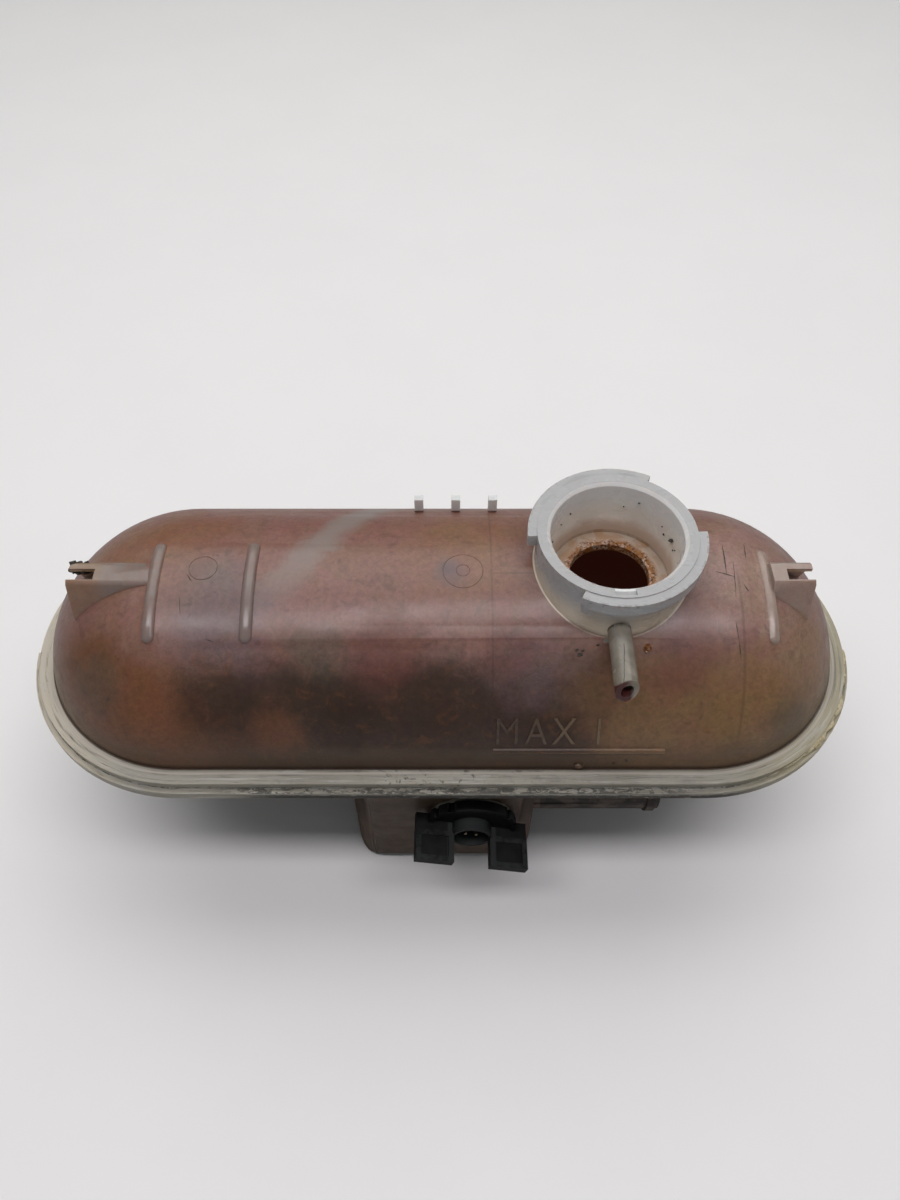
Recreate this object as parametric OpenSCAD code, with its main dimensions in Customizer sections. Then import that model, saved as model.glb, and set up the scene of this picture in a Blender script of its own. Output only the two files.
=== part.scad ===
// Coolant expansion tank: two welded mouldings, a filler neck for a bayonet cap,
// and a level sensor with a hinged float in the sump's front wall.
// X runs along the tank, Y from front to back, Z up. The origin lies on the
// sump's resting face, below the middle of the tank.

/* [Tank body] */
// Length of the domed body over its round ends
body_length = 280.8; // [262:0.2:320]
// Outer radius of the body's barrel and of its round ends
body_r = 52.8; // [51:0.1:56]
// Depth of the barrel's axis below the weld plane
axis_drop = 5; // [3:0.5:7]
// Height of the weld plane above the resting face
weld_height = 75; // [72:0.5:90]
// Wall thickness of both mouldings
wall = 2.8; // [2.2:0.1:3.2]

/* [Welding flange] */
// Width of the flange outside the body, on the front half
flange_rim = 7.2; // [5:0.1:10]
// Step of the upper flange behind the lower one's front lip
flange_step = 2; // [0.5:0.1:3]
// Thickness of the upper flange
upper_flange_t = 3; // [2:0.1:5]
// Thickness of the lower flange
lower_flange_t = 3.5; // [2:0.1:5]
// Distance from the tank's middle line to the ends of the front lip
lip_end_y = 4; // [0:0.5:12]

/* [Beads and level mark] */
// Width of the round section that forms each bead
bead_d = 4.8; // [3.6:0.1:6]
// Height of the beads above the dome
bead_height = 1.3; // [0.6:0.1:1.6]
// Middle of the beads' front ends, measured up from the front horizontal, in degrees
bead_start = 61.4; // [50:0.2:66]
// Angle between the middles of a bead's round ends, in degrees
bead_span = 35.6; // [30:0.1:50]
// Distance of the inner left bead from the tank's middle
inner_bead_x = 62; // [40:1:75]
// Distance of the outer left bead beyond the round end's centre
left_bead_out = 5.4; // [2:0.2:10]
// Distance of the right bead beyond the round end's centre
right_bead_out = 19.2; // [10:0.2:24]
// Height of the level mark above the weld plane
level_height = 12; // [8:0.5:20]
// Length of the level mark
level_length = 56; // [40:1:70]
// Thickness of the level mark
level_bar_t = 1.3; // [0.8:0.1:2]
// Height of the level mark above the dome
level_bar_proud = 0.7; // [0.4:0.1:1]
// Distance of the level mark's left end from the tank's middle
level_x = 17; // [5:1:25]

/* [Mounting ears] */
// Height of the ears' top plate above the weld plane
ear_height = 47.5; // [46.8:0.1:50]
// Distance of the ears' outer ends beyond the round end's centre
ear_reach = 33.8; // [30:0.2:36]
// Width of an ear's top plate
ear_width = 8.8; // [8:0.1:12]
// Offset of the ears in front of the tank's middle line
ear_front = 4; // [0:0.5:6]
// Lean of the ears' side walls, sideways for each millimetre down
ear_lean = 0.35; // [0.1:0.05:0.5]
// Wall thickness of the ears
ear_wall = 1.4; // [1:0.1:1.8]
// Length of the latch slot in an ear's top plate
ear_slot_length = 8.6; // [5:0.2:10]
// Width of the latch slot
ear_slot_width = 4.4; // [3:0.1:5]
// Length of the torn corner at the rear of the left ear's end
ear_tear = 3.2; // [1:0.1:5]

/* [Filler neck] */
// Distance of the neck from the tank's middle
neck_x = 56; // [50:1:62]
// Height of the neck's mouth above the weld plane
neck_height = 62.4; // [58:0.2:75]
// Outer radius of the neck
neck_r = 25.5; // [24.5:0.1:27]
// Radius of the cap's sealing bore
neck_bore_r = 21.3; // [19:0.1:22]
// Length of the sealing bore below the mouth's chamfer
neck_bore_length = 12; // [8:0.5:13]
// Chamfer of the mouth's inner edge
neck_chamfer = 1.2; // [0.6:0.1:1.8]
// Height of the neck's seat above the weld plane
seat_height = 41; // [38:0.5:42]
// Thickness of the seat
seat_t = 3; // [2:0.1:4]
// Radius of the filler hole in the seat
seat_hole_r = 13.3; // [10:0.1:15]
// Inner radius of the groove round the seat
seat_groove_r = 17.2; // [16.5:0.1:18]
// Depth of the groove round the seat
seat_groove_depth = 0.8; // [0.4:0.1:1.2]
// Radius of the neck's inner wall at the seat
neck_floor_r = 19.6; // [18.5:0.1:20.5]
// Width of the keying notch in the front of the mouth
key_width = 6.6; // [4:0.1:8]
// Depth of the keying notch
key_depth = 1; // [0.5:0.1:2]

/* [Bayonet lugs] */
// Radius over the two lugs
lug_r = 28.5; // [28.2:0.1:31]
// Angle that each lug covers, in degrees
lug_span = 120; // [90:1:140]
// Angle at which the first lug starts, in degrees
lug_start = 62; // [50:1:75]
// Thickness of the lugs
lug_t = 4.6; // [3:0.1:5]
// Step from the mouth down to the lugs' tops
lug_setback = 0.4; // [0.2:0.1:1]
// Extra thickness of a lug's cam
cam_t = 1.1; // [0.5:0.1:2]
// Depth of the stop at the start of each lug
lug_stop_t = 7.6; // [6.5:0.1:8.5]

/* [Overflow spigot] */
// Radius of the overflow spigot
spigot_r = 3.75; // [3:0.05:4.2]
// Bore radius of the overflow spigot
spigot_bore_r = 2; // [1.2:0.1:2.3]
// Height of the spigot's axis above the weld plane
spigot_height = 46; // [45.4:0.1:47]
// Reach of the spigot from the neck's wall
spigot_length = 24; // [20:0.2:32]
// Length of the chip out of the spigot's tip
spigot_chip = 2.6; // [1:0.1:4]

/* [Clip fingers] */
// Number of clip fingers behind the dome
finger_count = 3; // [1:1:4]
// Spacing of the clip fingers
finger_pitch = 13; // [9:0.5:16]
// Place of the first finger along the tank
finger_x = -8; // [-20:1:0]
// Distance of the fingers behind the tank's middle line
finger_y = 32; // [28:0.5:34]
// Width of a finger
finger_width = 3.1; // [3:0.1:6]
// Thickness of a finger
finger_t = 2.4; // [1.6:0.1:3]
// Height of the fingers' tips above the weld plane
finger_height = 44; // [42:0.5:50]

/* [Baffles] */
// Thickness of the baffles inside the dome
baffle_t = 2; // [1.4:0.1:3]
// Place of the first baffle along the tank
baffle_x = 16.5; // [5:0.5:25]
// Distance of the second baffle beyond the round end's centre
baffle_out = 9.4; // [6:0.2:15]
// Height of the baffles' lower edge above the weld plane
baffle_height = 24; // [16:0.5:30]

/* [Lower moulding] */
// Depth of the lower moulding's floor below the weld plane
tray_depth = 27; // [26:0.5:32]
// Outer radius of the lower moulding's bottom edge
tray_corner_r = 22; // [14:0.5:23]

/* [Sump] */
// Reach of the sump to the left of the tank's middle
sump_left = 33.2; // [28:0.1:45]
// Reach of the sump to the right of the tank's middle
sump_right = 35; // [34:0.5:42]
// Reach of the sump behind the tank's middle line
sump_back = 32; // [28:0.5:40]
// Radius of the sump's upright edges
sump_corner_r = 12; // [8:0.5:14]
// Radius of the sump's bottom edge
sump_fillet = 6.5; // [3.4:0.1:8]

/* [Hose outlet] */
// Outer radius of the hose outlet
outlet_r = 12.5; // [10:0.1:13]
// Bore radius of the hose outlet
outlet_bore_r = 9.7; // [7:0.1:9.8]
// Length of the hose outlet outside the sump
outlet_length = 47; // [35:0.5:60]
// Height of the outlet's axis above the resting face
outlet_height = 30; // [27:0.5:31]
// Distance of the outlet's axis in front of the tank's middle line
outlet_front = 31; // [20:0.1:31.2]
// Height of the hose bead
outlet_bead = 0.9; // [0.4:0.1:1.4]
// Length of the hose bead
outlet_bead_length = 3.2; // [2:0.1:5]

/* [Sensor port] */
// Place of the level sensor along the tank
sensor_x = 10.5; // [5:0.5:11]
// Height of the sensor's axis above the resting face
sensor_height = 41; // [38:0.5:44]
// Bore radius of the port
port_r = 12; // [11.5:0.1:12.5]
// Outer radius of the port's boss
port_boss_r = 15; // [14.8:0.1:16]
// Depth of the port's boss, measured in from the sump's front face
port_depth = 6; // [5:0.1:7]
// Height of the boss outside the sump's front face
port_proud = 1; // [0.5:0.1:1.5]

/* [Level sensor] */
// Angle by which the sensor hangs turned, clockwise from the front, in degrees
sensor_turn = 15; // [0:1:20]
// Turn that frees the sensor's lugs, in degrees
unlock_turn = 50; // [40:1:60]
// Radius of the sensor's cover disc
disc_r = 16.3; // [15.5:0.1:17.5]
// Thickness of the disc
disc_t = 2.6; // [2:0.1:3.5]
// Height of the raised rim on the disc
disc_rim_t = 0.9; // [0.5:0.1:1.5]
// Distance of the disc's lower flat from its centre
disc_flat = 8.6; // [8.2:0.1:12]
// Outer radius of the connector's collar
collar_r = 7.3; // [6.8:0.1:8]
// Inner radius of the connector's collar
socket_r = 6.35; // [5.5:0.05:6.4]
// Length of the collar in front of the disc
collar_length = 4.6; // [3:0.1:8]
// Inner distance of the grip wings from the sensor's axis
wing_start = 6.7; // [6:0.1:7]
// Width of a grip wing
wing_width = 13.8; // [11:0.1:16]
// Length of a grip wing
wing_length = 14.8; // [12:0.2:18]
// Length of the shoulder between the disc and a wing's grip
wing_root = 3.6; // [2:0.2:6]
// Step from a wing's grip down to its shoulder
wing_step = 0.6; // [0.3:0.1:1]
// Thickness of a grip wing
wing_t = 3.4; // [2.8:0.1:4.5]
// Depth of the recess in a wing's faces
wing_recess = 0.7; // [0.4:0.1:1]
// Width of the frame round a wing's recess
wing_frame = 1.9; // [1.2:0.1:3]
// Outer radius of the sensor's stem
stem_r = 5.5; // [5:0.1:6]
// Length of the stem, from the port's face to its inner end
stem_length = 30; // [28:0.5:34]
// Radius of the switch bore in the stem
switch_bore_r = 3.2; // [2.9:0.1:3.4]

/* [Float] */
// Radius of the float
float_r = 8; // [6:0.1:8.5]
// Length of the float
float_length = 22; // [16:0.5:24]
// Radius of the float's trunnions
trunnion_r = 1.5; // [1.2:0.1:2]
// Width of the float's tongue
tongue_width = 7; // [5:0.1:7.4]
// Height of the float's tongue
tongue_height = 6; // [5:0.1:6.6]
// Radius of the float's magnet
magnet_r = 2.2; // [1.5:0.1:3]
// Length of the float's magnet
magnet_length = 6; // [4:0.5:8]

/* [Seal and contacts] */
// Radius of the seal ring's cord
seal_cord_r = 0.85; // [0.6:0.05:0.9]
// Width of a terminal blade
terminal_width = 1.5; // [0.8:0.1:1.8]
// Thickness of a terminal blade
terminal_t = 0.8; // [0.5:0.1:1]
// Distance between the terminals' middles
terminal_pitch = 4; // [3.4:0.1:4.2]
// Depth of the cast resin behind the connector
resin_depth = 5; // [3:0.1:6]
// Outer radius of the switch's glass capsule
capsule_r = 1.1; // [0.8:0.05:1.2]
// Length of the switch's glass capsule
capsule_length = 12; // [10:0.5:14]
// Thickness of the switch's leads
lead_t = 0.5; // [0.4:0.05:0.6]

/* [Hidden] */
$fn = 96;

// Overlap that keeps joined and cut shapes from sharing a face
over = 1;
// Clearances of plain fits, of the trunnions, and of pieces that turn or slide past each other
seat_gap = 0.05;
trunnion_gap = 0.05;
run_gap = 0.3;

// Body: round ends' centres, barrel axis, and the body's radius in the weld plane
end_x = body_length / 2 - body_r;
axis_z = weld_height - axis_drop;
inner_r = body_r - wall;
weld_r = sqrt(body_r * body_r - axis_drop * axis_drop);
cavity_r = weld_r - wall;
front_y = -weld_r;

// Beads: places along the tank, each a stretch of ring about the barrel's axis
bead_places = [-end_x - left_bead_out, -inner_bead_x, end_x + right_bead_out];
bead_r = bead_d / 2;
bead_end_step = 0.02;

// Ears: inner ends at the outer beads, depth of the walls before the dome takes over
ear_depth = 22;
ear_set_off = bead_r / 2;
ear_edge = 0.9;
ear_tear_width = 2;
ear_tear_depth = 5;
ear_top_z = weld_height + ear_height;
ear_y = -ear_front - ear_width / 2;

// Neck heights above the resting face
mouth_z = weld_height + neck_height;
lug_top = mouth_z - lug_setback;
seat_z = weld_height + seat_height;
spigot_z = weld_height + spigot_height;
spigot_start = (neck_r + neck_floor_r) / 2;
break_skew = 14;
cam_setback = 0.3;
cam_r = lug_r - cam_setback;
lug_edge = 0.5;
lug_ease = 8;
lug_stop_span = 8;
cam_start = 16;
cam_span = lug_span - cam_start - lug_ease;

// Lower moulding: floor height and centre of the round bottom edge
tray_z = weld_height - tray_depth;
tray_wall_z = tray_z + tray_corner_r;
lip_r = weld_r + flange_rim;
upper_flange_r = lip_r - flange_step;

// Hose outlet: its root in the sump's wall, and the plain end in front of its bead
outlet_root = wall / 2;
outlet_tip = outlet_bead_length / 2;

// Sensor, in its own frame: X right, Y up, Z out of the port towards the front,
// with zero on the sump's front face
plug_gap = 0.15;
plug_r = port_r - plug_gap;
disc_z = port_proud + run_gap;
disc_face = disc_z + disc_t;
mouth = disc_face + collar_length;
lug_z = -port_depth - run_gap;
plug_lug_t = 2.4;
plug_lug_r = port_boss_r - 1;
plug_lug_half = 10;
plug_lug_places = [90, 270];
plug_end = lug_z - plug_lug_t;
slot_half = plug_lug_half + 3;
stop_half = 4;
stop_t = 1.8;
stop_gap = 1;
groove_width = 2 * seal_cord_r + 0.3;
groove_r = port_r - 2 * seal_cord_r - 2 * seat_gap;
groove_z = -port_depth / 2 - groove_width / 2;
socket_floor_drop = 0.4;
socket_floor = disc_z - socket_floor_drop;
bore_end = 2;
stem_end = -stem_length;
rim_width = 1.6;
rim_notch = 1.3;
rim_notch_width = 2.2;
rim_notches = [26, 50, 130, 154];
strut_t = 1.4;
strut_place = 215;
strut_sink = 0.5;
strut_reach = 3.2;
strut_share = 0.8;

// Float: pivot, fork and travel
pivot_back = 5;
pivot_z = stem_end - pivot_back;
cheek_t = 2.4;
cheek_half = 4;
cheek_inner = tongue_width / 2 + run_gap;
cheek_reach = 3.6;
cheek_end = pivot_z - cheek_reach;
tongue_reach = 6.4;
float_front = pivot_z - tongue_reach;
rest_web_t = 1.8;
rest_web_length = 2.4;
float_edge = 1.6;
magnet_inset = 2;

// Contacts and switch
terminal_recess = 1.4;
terminal_out = mouth - terminal_recess;
terminal_tail = 1.5;
resin_end = socket_floor - resin_depth;
terminal_end = resin_end - terminal_tail;
lead_drop = 1.2;
lead_stub = 1.6;
capsule_front = terminal_end - lead_drop - lead_t - lead_stub;
capsule_back = capsule_front - capsule_length;

// Barrel with round ends, turned in one piece about its own axis
module capsule(r) {
    translate([0, 0, axis_z])
        rotate([0, 90, 0])
            rotate_extrude()
                intersection() {
                    union() {
                        for (side = [-1, 1])
                            translate([0, side * end_x])
                                circle(r);
                        translate([-r, -end_x])
                            square([2 * r, 2 * end_x]);
                    }
                    translate([0, -end_x - r - over])
                        square([r + over, 2 * (end_x + r + over)]);
                }
}

// Outline with two straight sides and full round ends
module stadium(r) {
    for (side = [-1, 1])
        translate([side * end_x, 0])
            circle(r);
    translate([-end_x, -r])
        square([2 * end_x, 2 * r]);
}

// Everything above the weld plane
module above_weld() {
    reach = 2 * body_length;
    translate([-reach / 2, -reach / 2, weld_height])
        cube([reach, reach, reach]);
}

// Part of a ring about Z, from one angle on
module ring_part(r_in, r_out, z, height, from, span) {
    rotate(from)
        rotate_extrude(angle = span)
            translate([r_in, z])
                square([r_out - r_in, height]);
}

// Radius of the dome at a place along the tank
function dome_r(x) = let (past = max(0, abs(x) - end_x)) sqrt(body_r * body_r - past * past);

// Height of the dome's outside behind or in front of its middle line
function dome_z(y) = axis_z + sqrt(body_r * body_r - y * y);

// Raised beads over the dome, each a stretch of a ring about the barrel's axis with round ends
module beads() {
    for (x = bead_places) {
        ring_r = dome_r(x) + bead_height - bead_r;
        translate([x, 0, axis_z])
            rotate([0, 90, 0])
                rotate(270 - bead_start - bead_span) {
                    rotate_extrude(angle = bead_span)
                        translate([ring_r, 0])
                            circle(bead_r, $fn = 32);
                    for (turn = [0, bead_span])
                        rotate(turn)
                            translate([ring_r, 0, 0])
                                sphere(bead_r - bead_end_step);
                }
    }
}

module level_mark() {
    intersection() {
        capsule(body_r + level_bar_proud);
        translate([level_x, -body_r - over, weld_height + level_height - level_bar_t / 2])
            cube([level_length, body_r, level_bar_t]);
    }
}

// Place across an ear of its leaning front wall, inset by a thickness, at a depth below the top
function ear_side(inset, depth) = inset * sqrt(1 + ear_lean * ear_lean) - ear_lean * depth;

// Section of an ear, inset by the thickness of its walls, with eased top edges
module ear_section(inset) {
    foot = ear_side(inset, ear_depth);
    below = ear_side(inset, inset + ear_edge);
    corner = ear_side(inset, inset) + ear_edge;
    polygon([[foot, -ear_depth], [below, -inset - ear_edge], [corner, -inset], [ear_width - corner, -inset],
             [ear_width - below, -inset - ear_edge], [ear_width - foot, -ear_depth]]);
}

// Hollow ear, open at its outer end, from the far half of its bead outwards
module ear(start) {
    length = end_x + ear_reach - start;
    translate([start, ear_y, ear_top_z])
        difference() {
            rotate([90, 0, 90])
                linear_extrude(length)
                    ear_section(0);
            translate([ear_wall, 0, 0])
                rotate([90, 0, 90])
                    linear_extrude(length)
                        ear_section(ear_wall);
            translate([length - ear_slot_length, ear_wall, -ear_wall - over])
                cube([ear_slot_length + over, ear_slot_width, ear_wall + 2 * over]);
        }
}

// Torn rear corner of an ear's outer end
module ear_torn_corner() {
    reach = ear_lean * ear_depth;
    translate([end_x + ear_reach, ear_y + ear_width, ear_top_z - ear_tear_depth])
        linear_extrude(ear_tear_depth + over)
            polygon([[-ear_tear, 0], [over, -ear_tear_width], [over, reach], [-ear_tear, reach]]);
}

module ears() {
    ear(end_x + right_bead_out + ear_set_off);
    mirror([1, 0, 0])
        difference() {
            ear(end_x + left_bead_out + ear_set_off);
            ear_torn_corner();
        }
}

module fingers() {
    root_z = dome_z(finger_y) - wall / 2;
    for (i = [0 : finger_count - 1])
        translate([finger_x + i * finger_pitch - finger_width / 2, finger_y - finger_t / 2, root_z])
            cube([finger_width, finger_t, weld_height + finger_height - root_z]);
}

// Plates that hang from the dome, over the whole section and out to the neck
module baffle_plates() {
    top = body_r + over;
    low_z = weld_height + baffle_height;
    for (x = [baffle_x, end_x + baffle_out])
        translate([x - baffle_t / 2, -top, low_z])
            cube([baffle_t, 2 * top, top]);
    translate([baffle_x, ear_y + ear_width / 2 - baffle_t / 2, low_z])
        cube([neck_x - neck_floor_r - baffle_x, baffle_t, top]);
}

// Hollow of the dome, with the baffles left standing
module dome_hollow() {
    difference() {
        capsule(inner_r);
        baffle_plates();
    }
}

// Two lugs half a turn apart, each with a cam below and a stop at its start
module bayonet_lugs() {
    r_in = neck_r - over;
    for (half = [0, 180]) {
        from = lug_start + half;
        ring_part(r_in, lug_r, lug_top - lug_t, lug_t, from, lug_span);
        ring_part(r_in, cam_r, lug_top - lug_stop_t, lug_stop_t - lug_t / 2, from + lug_edge, lug_stop_span);
        ring_part(r_in, cam_r, lug_top - lug_t - cam_t, cam_t + lug_t / 2, from + cam_start, cam_span);
    }
}

module neck_body() {
    translate([neck_x, 0, 0]) {
        translate([0, 0, seat_z - seat_t])
            cylinder(r = neck_r, h = mouth_z - seat_z + seat_t);
        bayonet_lugs();
        translate([0, -spigot_start, spigot_z])
            rotate([90, 0, 0])
                cylinder(r = spigot_r, h = neck_r + spigot_length - spigot_start);
    }
}

// Chamfered mouth, sealing bore, taper to the seat, groove and filler hole, as one turned cut
module neck_hollow() {
    bore_top = mouth_z - neck_chamfer;
    bore_low = bore_top - neck_bore_length;
    groove_floor = seat_z - seat_groove_depth;
    translate([neck_x, 0, 0]) {
        rotate_extrude()
            polygon([[0, seat_z - seat_t - over], [seat_hole_r, seat_z - seat_t - over],
                     [seat_hole_r, seat_z], [seat_groove_r, seat_z], [seat_groove_r, groove_floor],
                     [neck_floor_r, groove_floor], [neck_floor_r, seat_z], [neck_bore_r, bore_low],
                     [neck_bore_r, bore_top], [neck_bore_r + neck_chamfer, mouth_z],
                     [neck_bore_r + neck_chamfer, mouth_z + over], [0, mouth_z + over]]);
        translate([-key_width / 2, -neck_r + over, mouth_z - key_depth])
            cube([key_width, neck_r - over, key_depth + over]);
        translate([0, 0, spigot_z])
            rotate([90, 0, 0])
                cylinder(r = spigot_bore_r, h = neck_r + spigot_length + over, $fn = 48);
        spigot_tip_break();
    }
}

// Slanted break across the spigot's tip, deeper on its upper side
module spigot_tip_break() {
    side = 4 * spigot_r;
    translate([0, -neck_r - spigot_length, spigot_z - spigot_r])
        rotate([-atan(spigot_chip / (2 * spigot_r)), 0, break_skew])
            translate([-side / 2, -side, -side / 2])
                cube([side, side, 2 * side]);
}

module upper_shell() {
    color([0.66, 0.47, 0.42])
        difference() {
            union() {
                difference() {
                    union() {
                        intersection() {
                            capsule(body_r);
                            above_weld();
                        }
                        translate([0, 0, weld_height])
                            linear_extrude(upper_flange_t)
                                stadium(upper_flange_r);
                        beads();
                        intersection() {
                            level_mark();
                            above_weld();
                        }
                        ears();
                        fingers();
                    }
                    dome_hollow();
                }
                neck_body();
            }
            neck_hollow();
        }
}

// Bowl with straight upper walls, a round bottom edge and round ends
module tray(r, floor_z, corner) {
    module section() {
        translate([0, floor_z])
            square([r - corner, weld_height - floor_z]);
        translate([r - corner, floor_z + corner])
            intersection() {
                circle(corner);
                translate([-over, -corner])
                    square([corner + over, corner]);
            }
        translate([r - corner, floor_z + corner])
            square([corner, weld_height - floor_z - corner]);
    }
    for (side = [-1, 1])
        translate([side * end_x, 0, 0])
            rotate(-90 * side)
                rotate_extrude(angle = 180)
                    section();
    for (side = [0, 1])
        translate([-end_x, 0, 0])
            mirror([0, side, 0])
                rotate([90, 0, 90])
                    linear_extrude(2 * end_x)
                        section();
}

// Lower flange, with the wider lip along the front half only
module lower_flange_outline() {
    stadium(upper_flange_r);
    intersection() {
        stadium(lip_r);
        translate([-body_length, -2 * lip_r])
            square([2 * body_length, 2 * lip_r - lip_end_y]);
    }
}

// Rectangle with round corners, made from circles and bars
module round_rectangle(size, r) {
    for (x = [r, size.x - r], y = [r, size.y - r])
        translate([x, y])
            circle(r);
    translate([r, 0])
        square([size.x - 2 * r, size.y]);
    translate([0, r])
        square([size.x, size.y - 2 * r]);
}

// Sump box: round upright edges, and a round bottom edge on its straight sides
module sump_box(inset) {
    x0 = -sump_left + inset;
    y0 = front_y + inset;
    width = sump_left + sump_right - 2 * inset;
    depth = sump_back - front_y - 2 * inset;
    height = tray_wall_z - inset;
    fillet = sump_fillet - inset;
    intersection() {
        translate([x0, y0, inset])
            linear_extrude(height)
                round_rectangle([width, depth], sump_corner_r - inset);
        translate([x0, y0 + depth + over, inset])
            rotate([90, 0, 0])
                linear_extrude(depth + 2 * over)
                    round_rectangle([width, 2 * height], fillet);
        translate([x0 - over, y0, inset])
            rotate([90, 0, 90])
                linear_extrude(width + 2 * over)
                    round_rectangle([depth, 2 * height], fillet);
    }
}

// Hose outlet, along X from inside the sump's right wall, with a bead at its end
module outlet() {
    whole = outlet_root + outlet_length;
    translate([sump_right - outlet_root, -outlet_front, outlet_height])
        rotate([0, 90, 0]) {
            cylinder(r = outlet_r, h = whole);
            translate([0, 0, whole - outlet_tip - outlet_bead_length])
                cylinder(r = outlet_r + outlet_bead, h = outlet_bead_length);
        }
}

module outlet_bore() {
    translate([sump_right - wall - over, -outlet_front, outlet_height])
        rotate([0, 90, 0])
            cylinder(r = outlet_bore_r, h = outlet_length + wall + 2 * over);
}

// Places what follows in the port's frame
module port_frame() {
    translate([sensor_x, front_y, sensor_height])
        rotate([90, 0, 0])
            children();
}

module port_boss() {
    port_frame() {
        translate([0, 0, -port_depth])
            cylinder(r = port_boss_r, h = port_depth + port_proud);
        for (place = plug_lug_places)
            ring_part(port_r + run_gap, port_boss_r, -port_depth - stop_t, stop_t + over,
                      place - sensor_turn - plug_lug_half - stop_gap - 2 * stop_half, 2 * stop_half);
    }
}

// Bore of the port, with the two slots that let the sensor's lugs in
module port_bore() {
    port_frame() {
        translate([0, 0, -port_depth - stop_t - over])
            cylinder(r = port_r, h = port_depth + stop_t + port_proud + 2 * over);
        for (place = plug_lug_places)
            ring_part(port_r - over, plug_lug_r + run_gap, -port_depth - over,
                      port_depth + port_proud + 2 * over,
                      place - sensor_turn + unlock_turn - slot_half, 2 * slot_half);
    }
}

module lower_shell() {
    color([0.78, 0.66, 0.55])
        difference() {
            union() {
                difference() {
                    union() {
                        tray(weld_r, tray_z, tray_corner_r);
                        translate([0, 0, weld_height - lower_flange_t])
                            linear_extrude(lower_flange_t)
                                lower_flange_outline();
                        sump_box(0);
                        outlet();
                    }
                    tray(cavity_r, tray_z + wall, tray_corner_r - wall);
                    sump_box(wall);
                }
                port_boss();
            }
            port_bore();
            outlet_bore();
        }
}

// Places what follows in the sensor's frame, turned as it hangs
module sensor_frame() {
    port_frame()
        rotate(-sensor_turn)
            children();
}

// Disc with a raised rim, a lower flat and small notches round its upper edge
module sensor_disc() {
    difference() {
        union() {
            translate([0, 0, disc_z])
                cylinder(r = disc_r, h = disc_t);
            translate([0, 0, disc_face])
                difference() {
                    cylinder(r = disc_r, h = disc_rim_t);
                    translate([0, 0, -over])
                        cylinder(r = disc_r - rim_width, h = disc_rim_t + 2 * over);
                }
        }
        translate([-2 * disc_r, -3 * disc_r, 0])
            cube([4 * disc_r, 3 * disc_r - disc_flat, disc_face + 2 * disc_rim_t]);
        for (angle = rim_notches)
            rotate(angle)
                translate([disc_r - rim_notch, -rim_notch_width / 2, 0])
                    cube([2 * rim_notch, rim_notch_width, disc_face + 2 * disc_rim_t]);
    }
}

// Grip wing on a thinner shoulder, with a framed recess in the grip's upper and lower face
module wing() {
    recess_width = wing_width - 2 * wing_frame;
    recess_length = wing_length - wing_root - 2 * wing_frame;
    difference() {
        union() {
            translate([wing_start, wing_step - wing_t / 2, disc_z])
                cube([wing_width, wing_t - 2 * wing_step, disc_t + wing_root + over]);
            translate([wing_start, -wing_t / 2, disc_face + wing_root])
                cube([wing_width, wing_t, wing_length - wing_root]);
        }
        for (side = [0, 1])
            mirror([0, side, 0])
                translate([wing_start + wing_frame, wing_t / 2 - wing_recess,
                           disc_face + wing_root + wing_frame])
                    cube([recess_width, wing_recess + over, recess_length]);
    }
}

// Slanted strut from the collar's underside to the left wing
module strut() {
    inner = (socket_r + collar_r) / 2;
    rotate(strut_place)
        translate([inner, -strut_t / 2, disc_face - strut_sink])
            cube([collar_r - inner + strut_reach, strut_t, collar_length * strut_share]);
}

module plug() {
    difference() {
        translate([0, 0, plug_end])
            cylinder(r = plug_r, h = disc_z - plug_end + disc_t / 2);
        translate([0, 0, groove_z])
            difference() {
                cylinder(r = plug_r + over, h = groove_width);
                translate([0, 0, -over])
                    cylinder(r = groove_r, h = groove_width + 2 * over);
            }
    }
    for (place = plug_lug_places)
        ring_part(plug_r - over, plug_lug_r, plug_end, plug_lug_t, place - plug_lug_half, 2 * plug_lug_half);
}

// Fork at the stem's inner end: two cheeks with trunnion bores and the web the float rests on
module fork() {
    difference() {
        union() {
            for (side = [0, 1])
                mirror([side, 0, 0])
                    translate([cheek_inner, -cheek_half, cheek_end])
                        cube([cheek_t, 2 * cheek_half, stem_end + over - cheek_end]);
            translate([-cheek_inner - over, -tongue_height / 2 - run_gap - rest_web_t, cheek_end])
                cube([2 * (cheek_inner + over), rest_web_t, rest_web_length]);
        }
        translate([-cheek_inner - cheek_t - over, 0, pivot_z])
            rotate([0, 90, 0])
                cylinder(r = trunnion_r + trunnion_gap, h = 2 * (cheek_inner + cheek_t + over), $fn = 48);
    }
}

module sensor_body() {
    color([0.14, 0.15, 0.16])
        sensor_frame() {
            difference() {
                union() {
                    sensor_disc();
                    translate([0, 0, disc_z])
                        cylinder(r = collar_r, h = mouth - disc_z);
                    wing();
                    mirror([1, 0, 0])
                        wing();
                    strut();
                    plug();
                    translate([0, 0, stem_end])
                        cylinder(r = stem_r, h = plug_end + over - stem_end);
                }
                translate([0, 0, socket_floor])
                    cylinder(r = socket_r, h = mouth - socket_floor + over);
                translate([0, 0, stem_end + bore_end])
                    cylinder(r = switch_bore_r, h = socket_floor - stem_end - bore_end + over, $fn = 64);
            }
            fork();
        }
}

module sensor_seal() {
    color([0.09, 0.09, 0.1])
        sensor_frame()
            translate([0, 0, groove_z + groove_width / 2])
                rotate_extrude()
                    translate([port_r - seat_gap - seal_cord_r, 0])
                        circle(seal_cord_r, $fn = 32);
}

// Blade from the socket through the resin to the switch's leads
module terminal_blade(side) {
    translate([side * terminal_pitch / 2 - terminal_t / 2, -terminal_width / 2, terminal_end])
        cube([terminal_t, terminal_width, terminal_out - terminal_end]);
}

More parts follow.
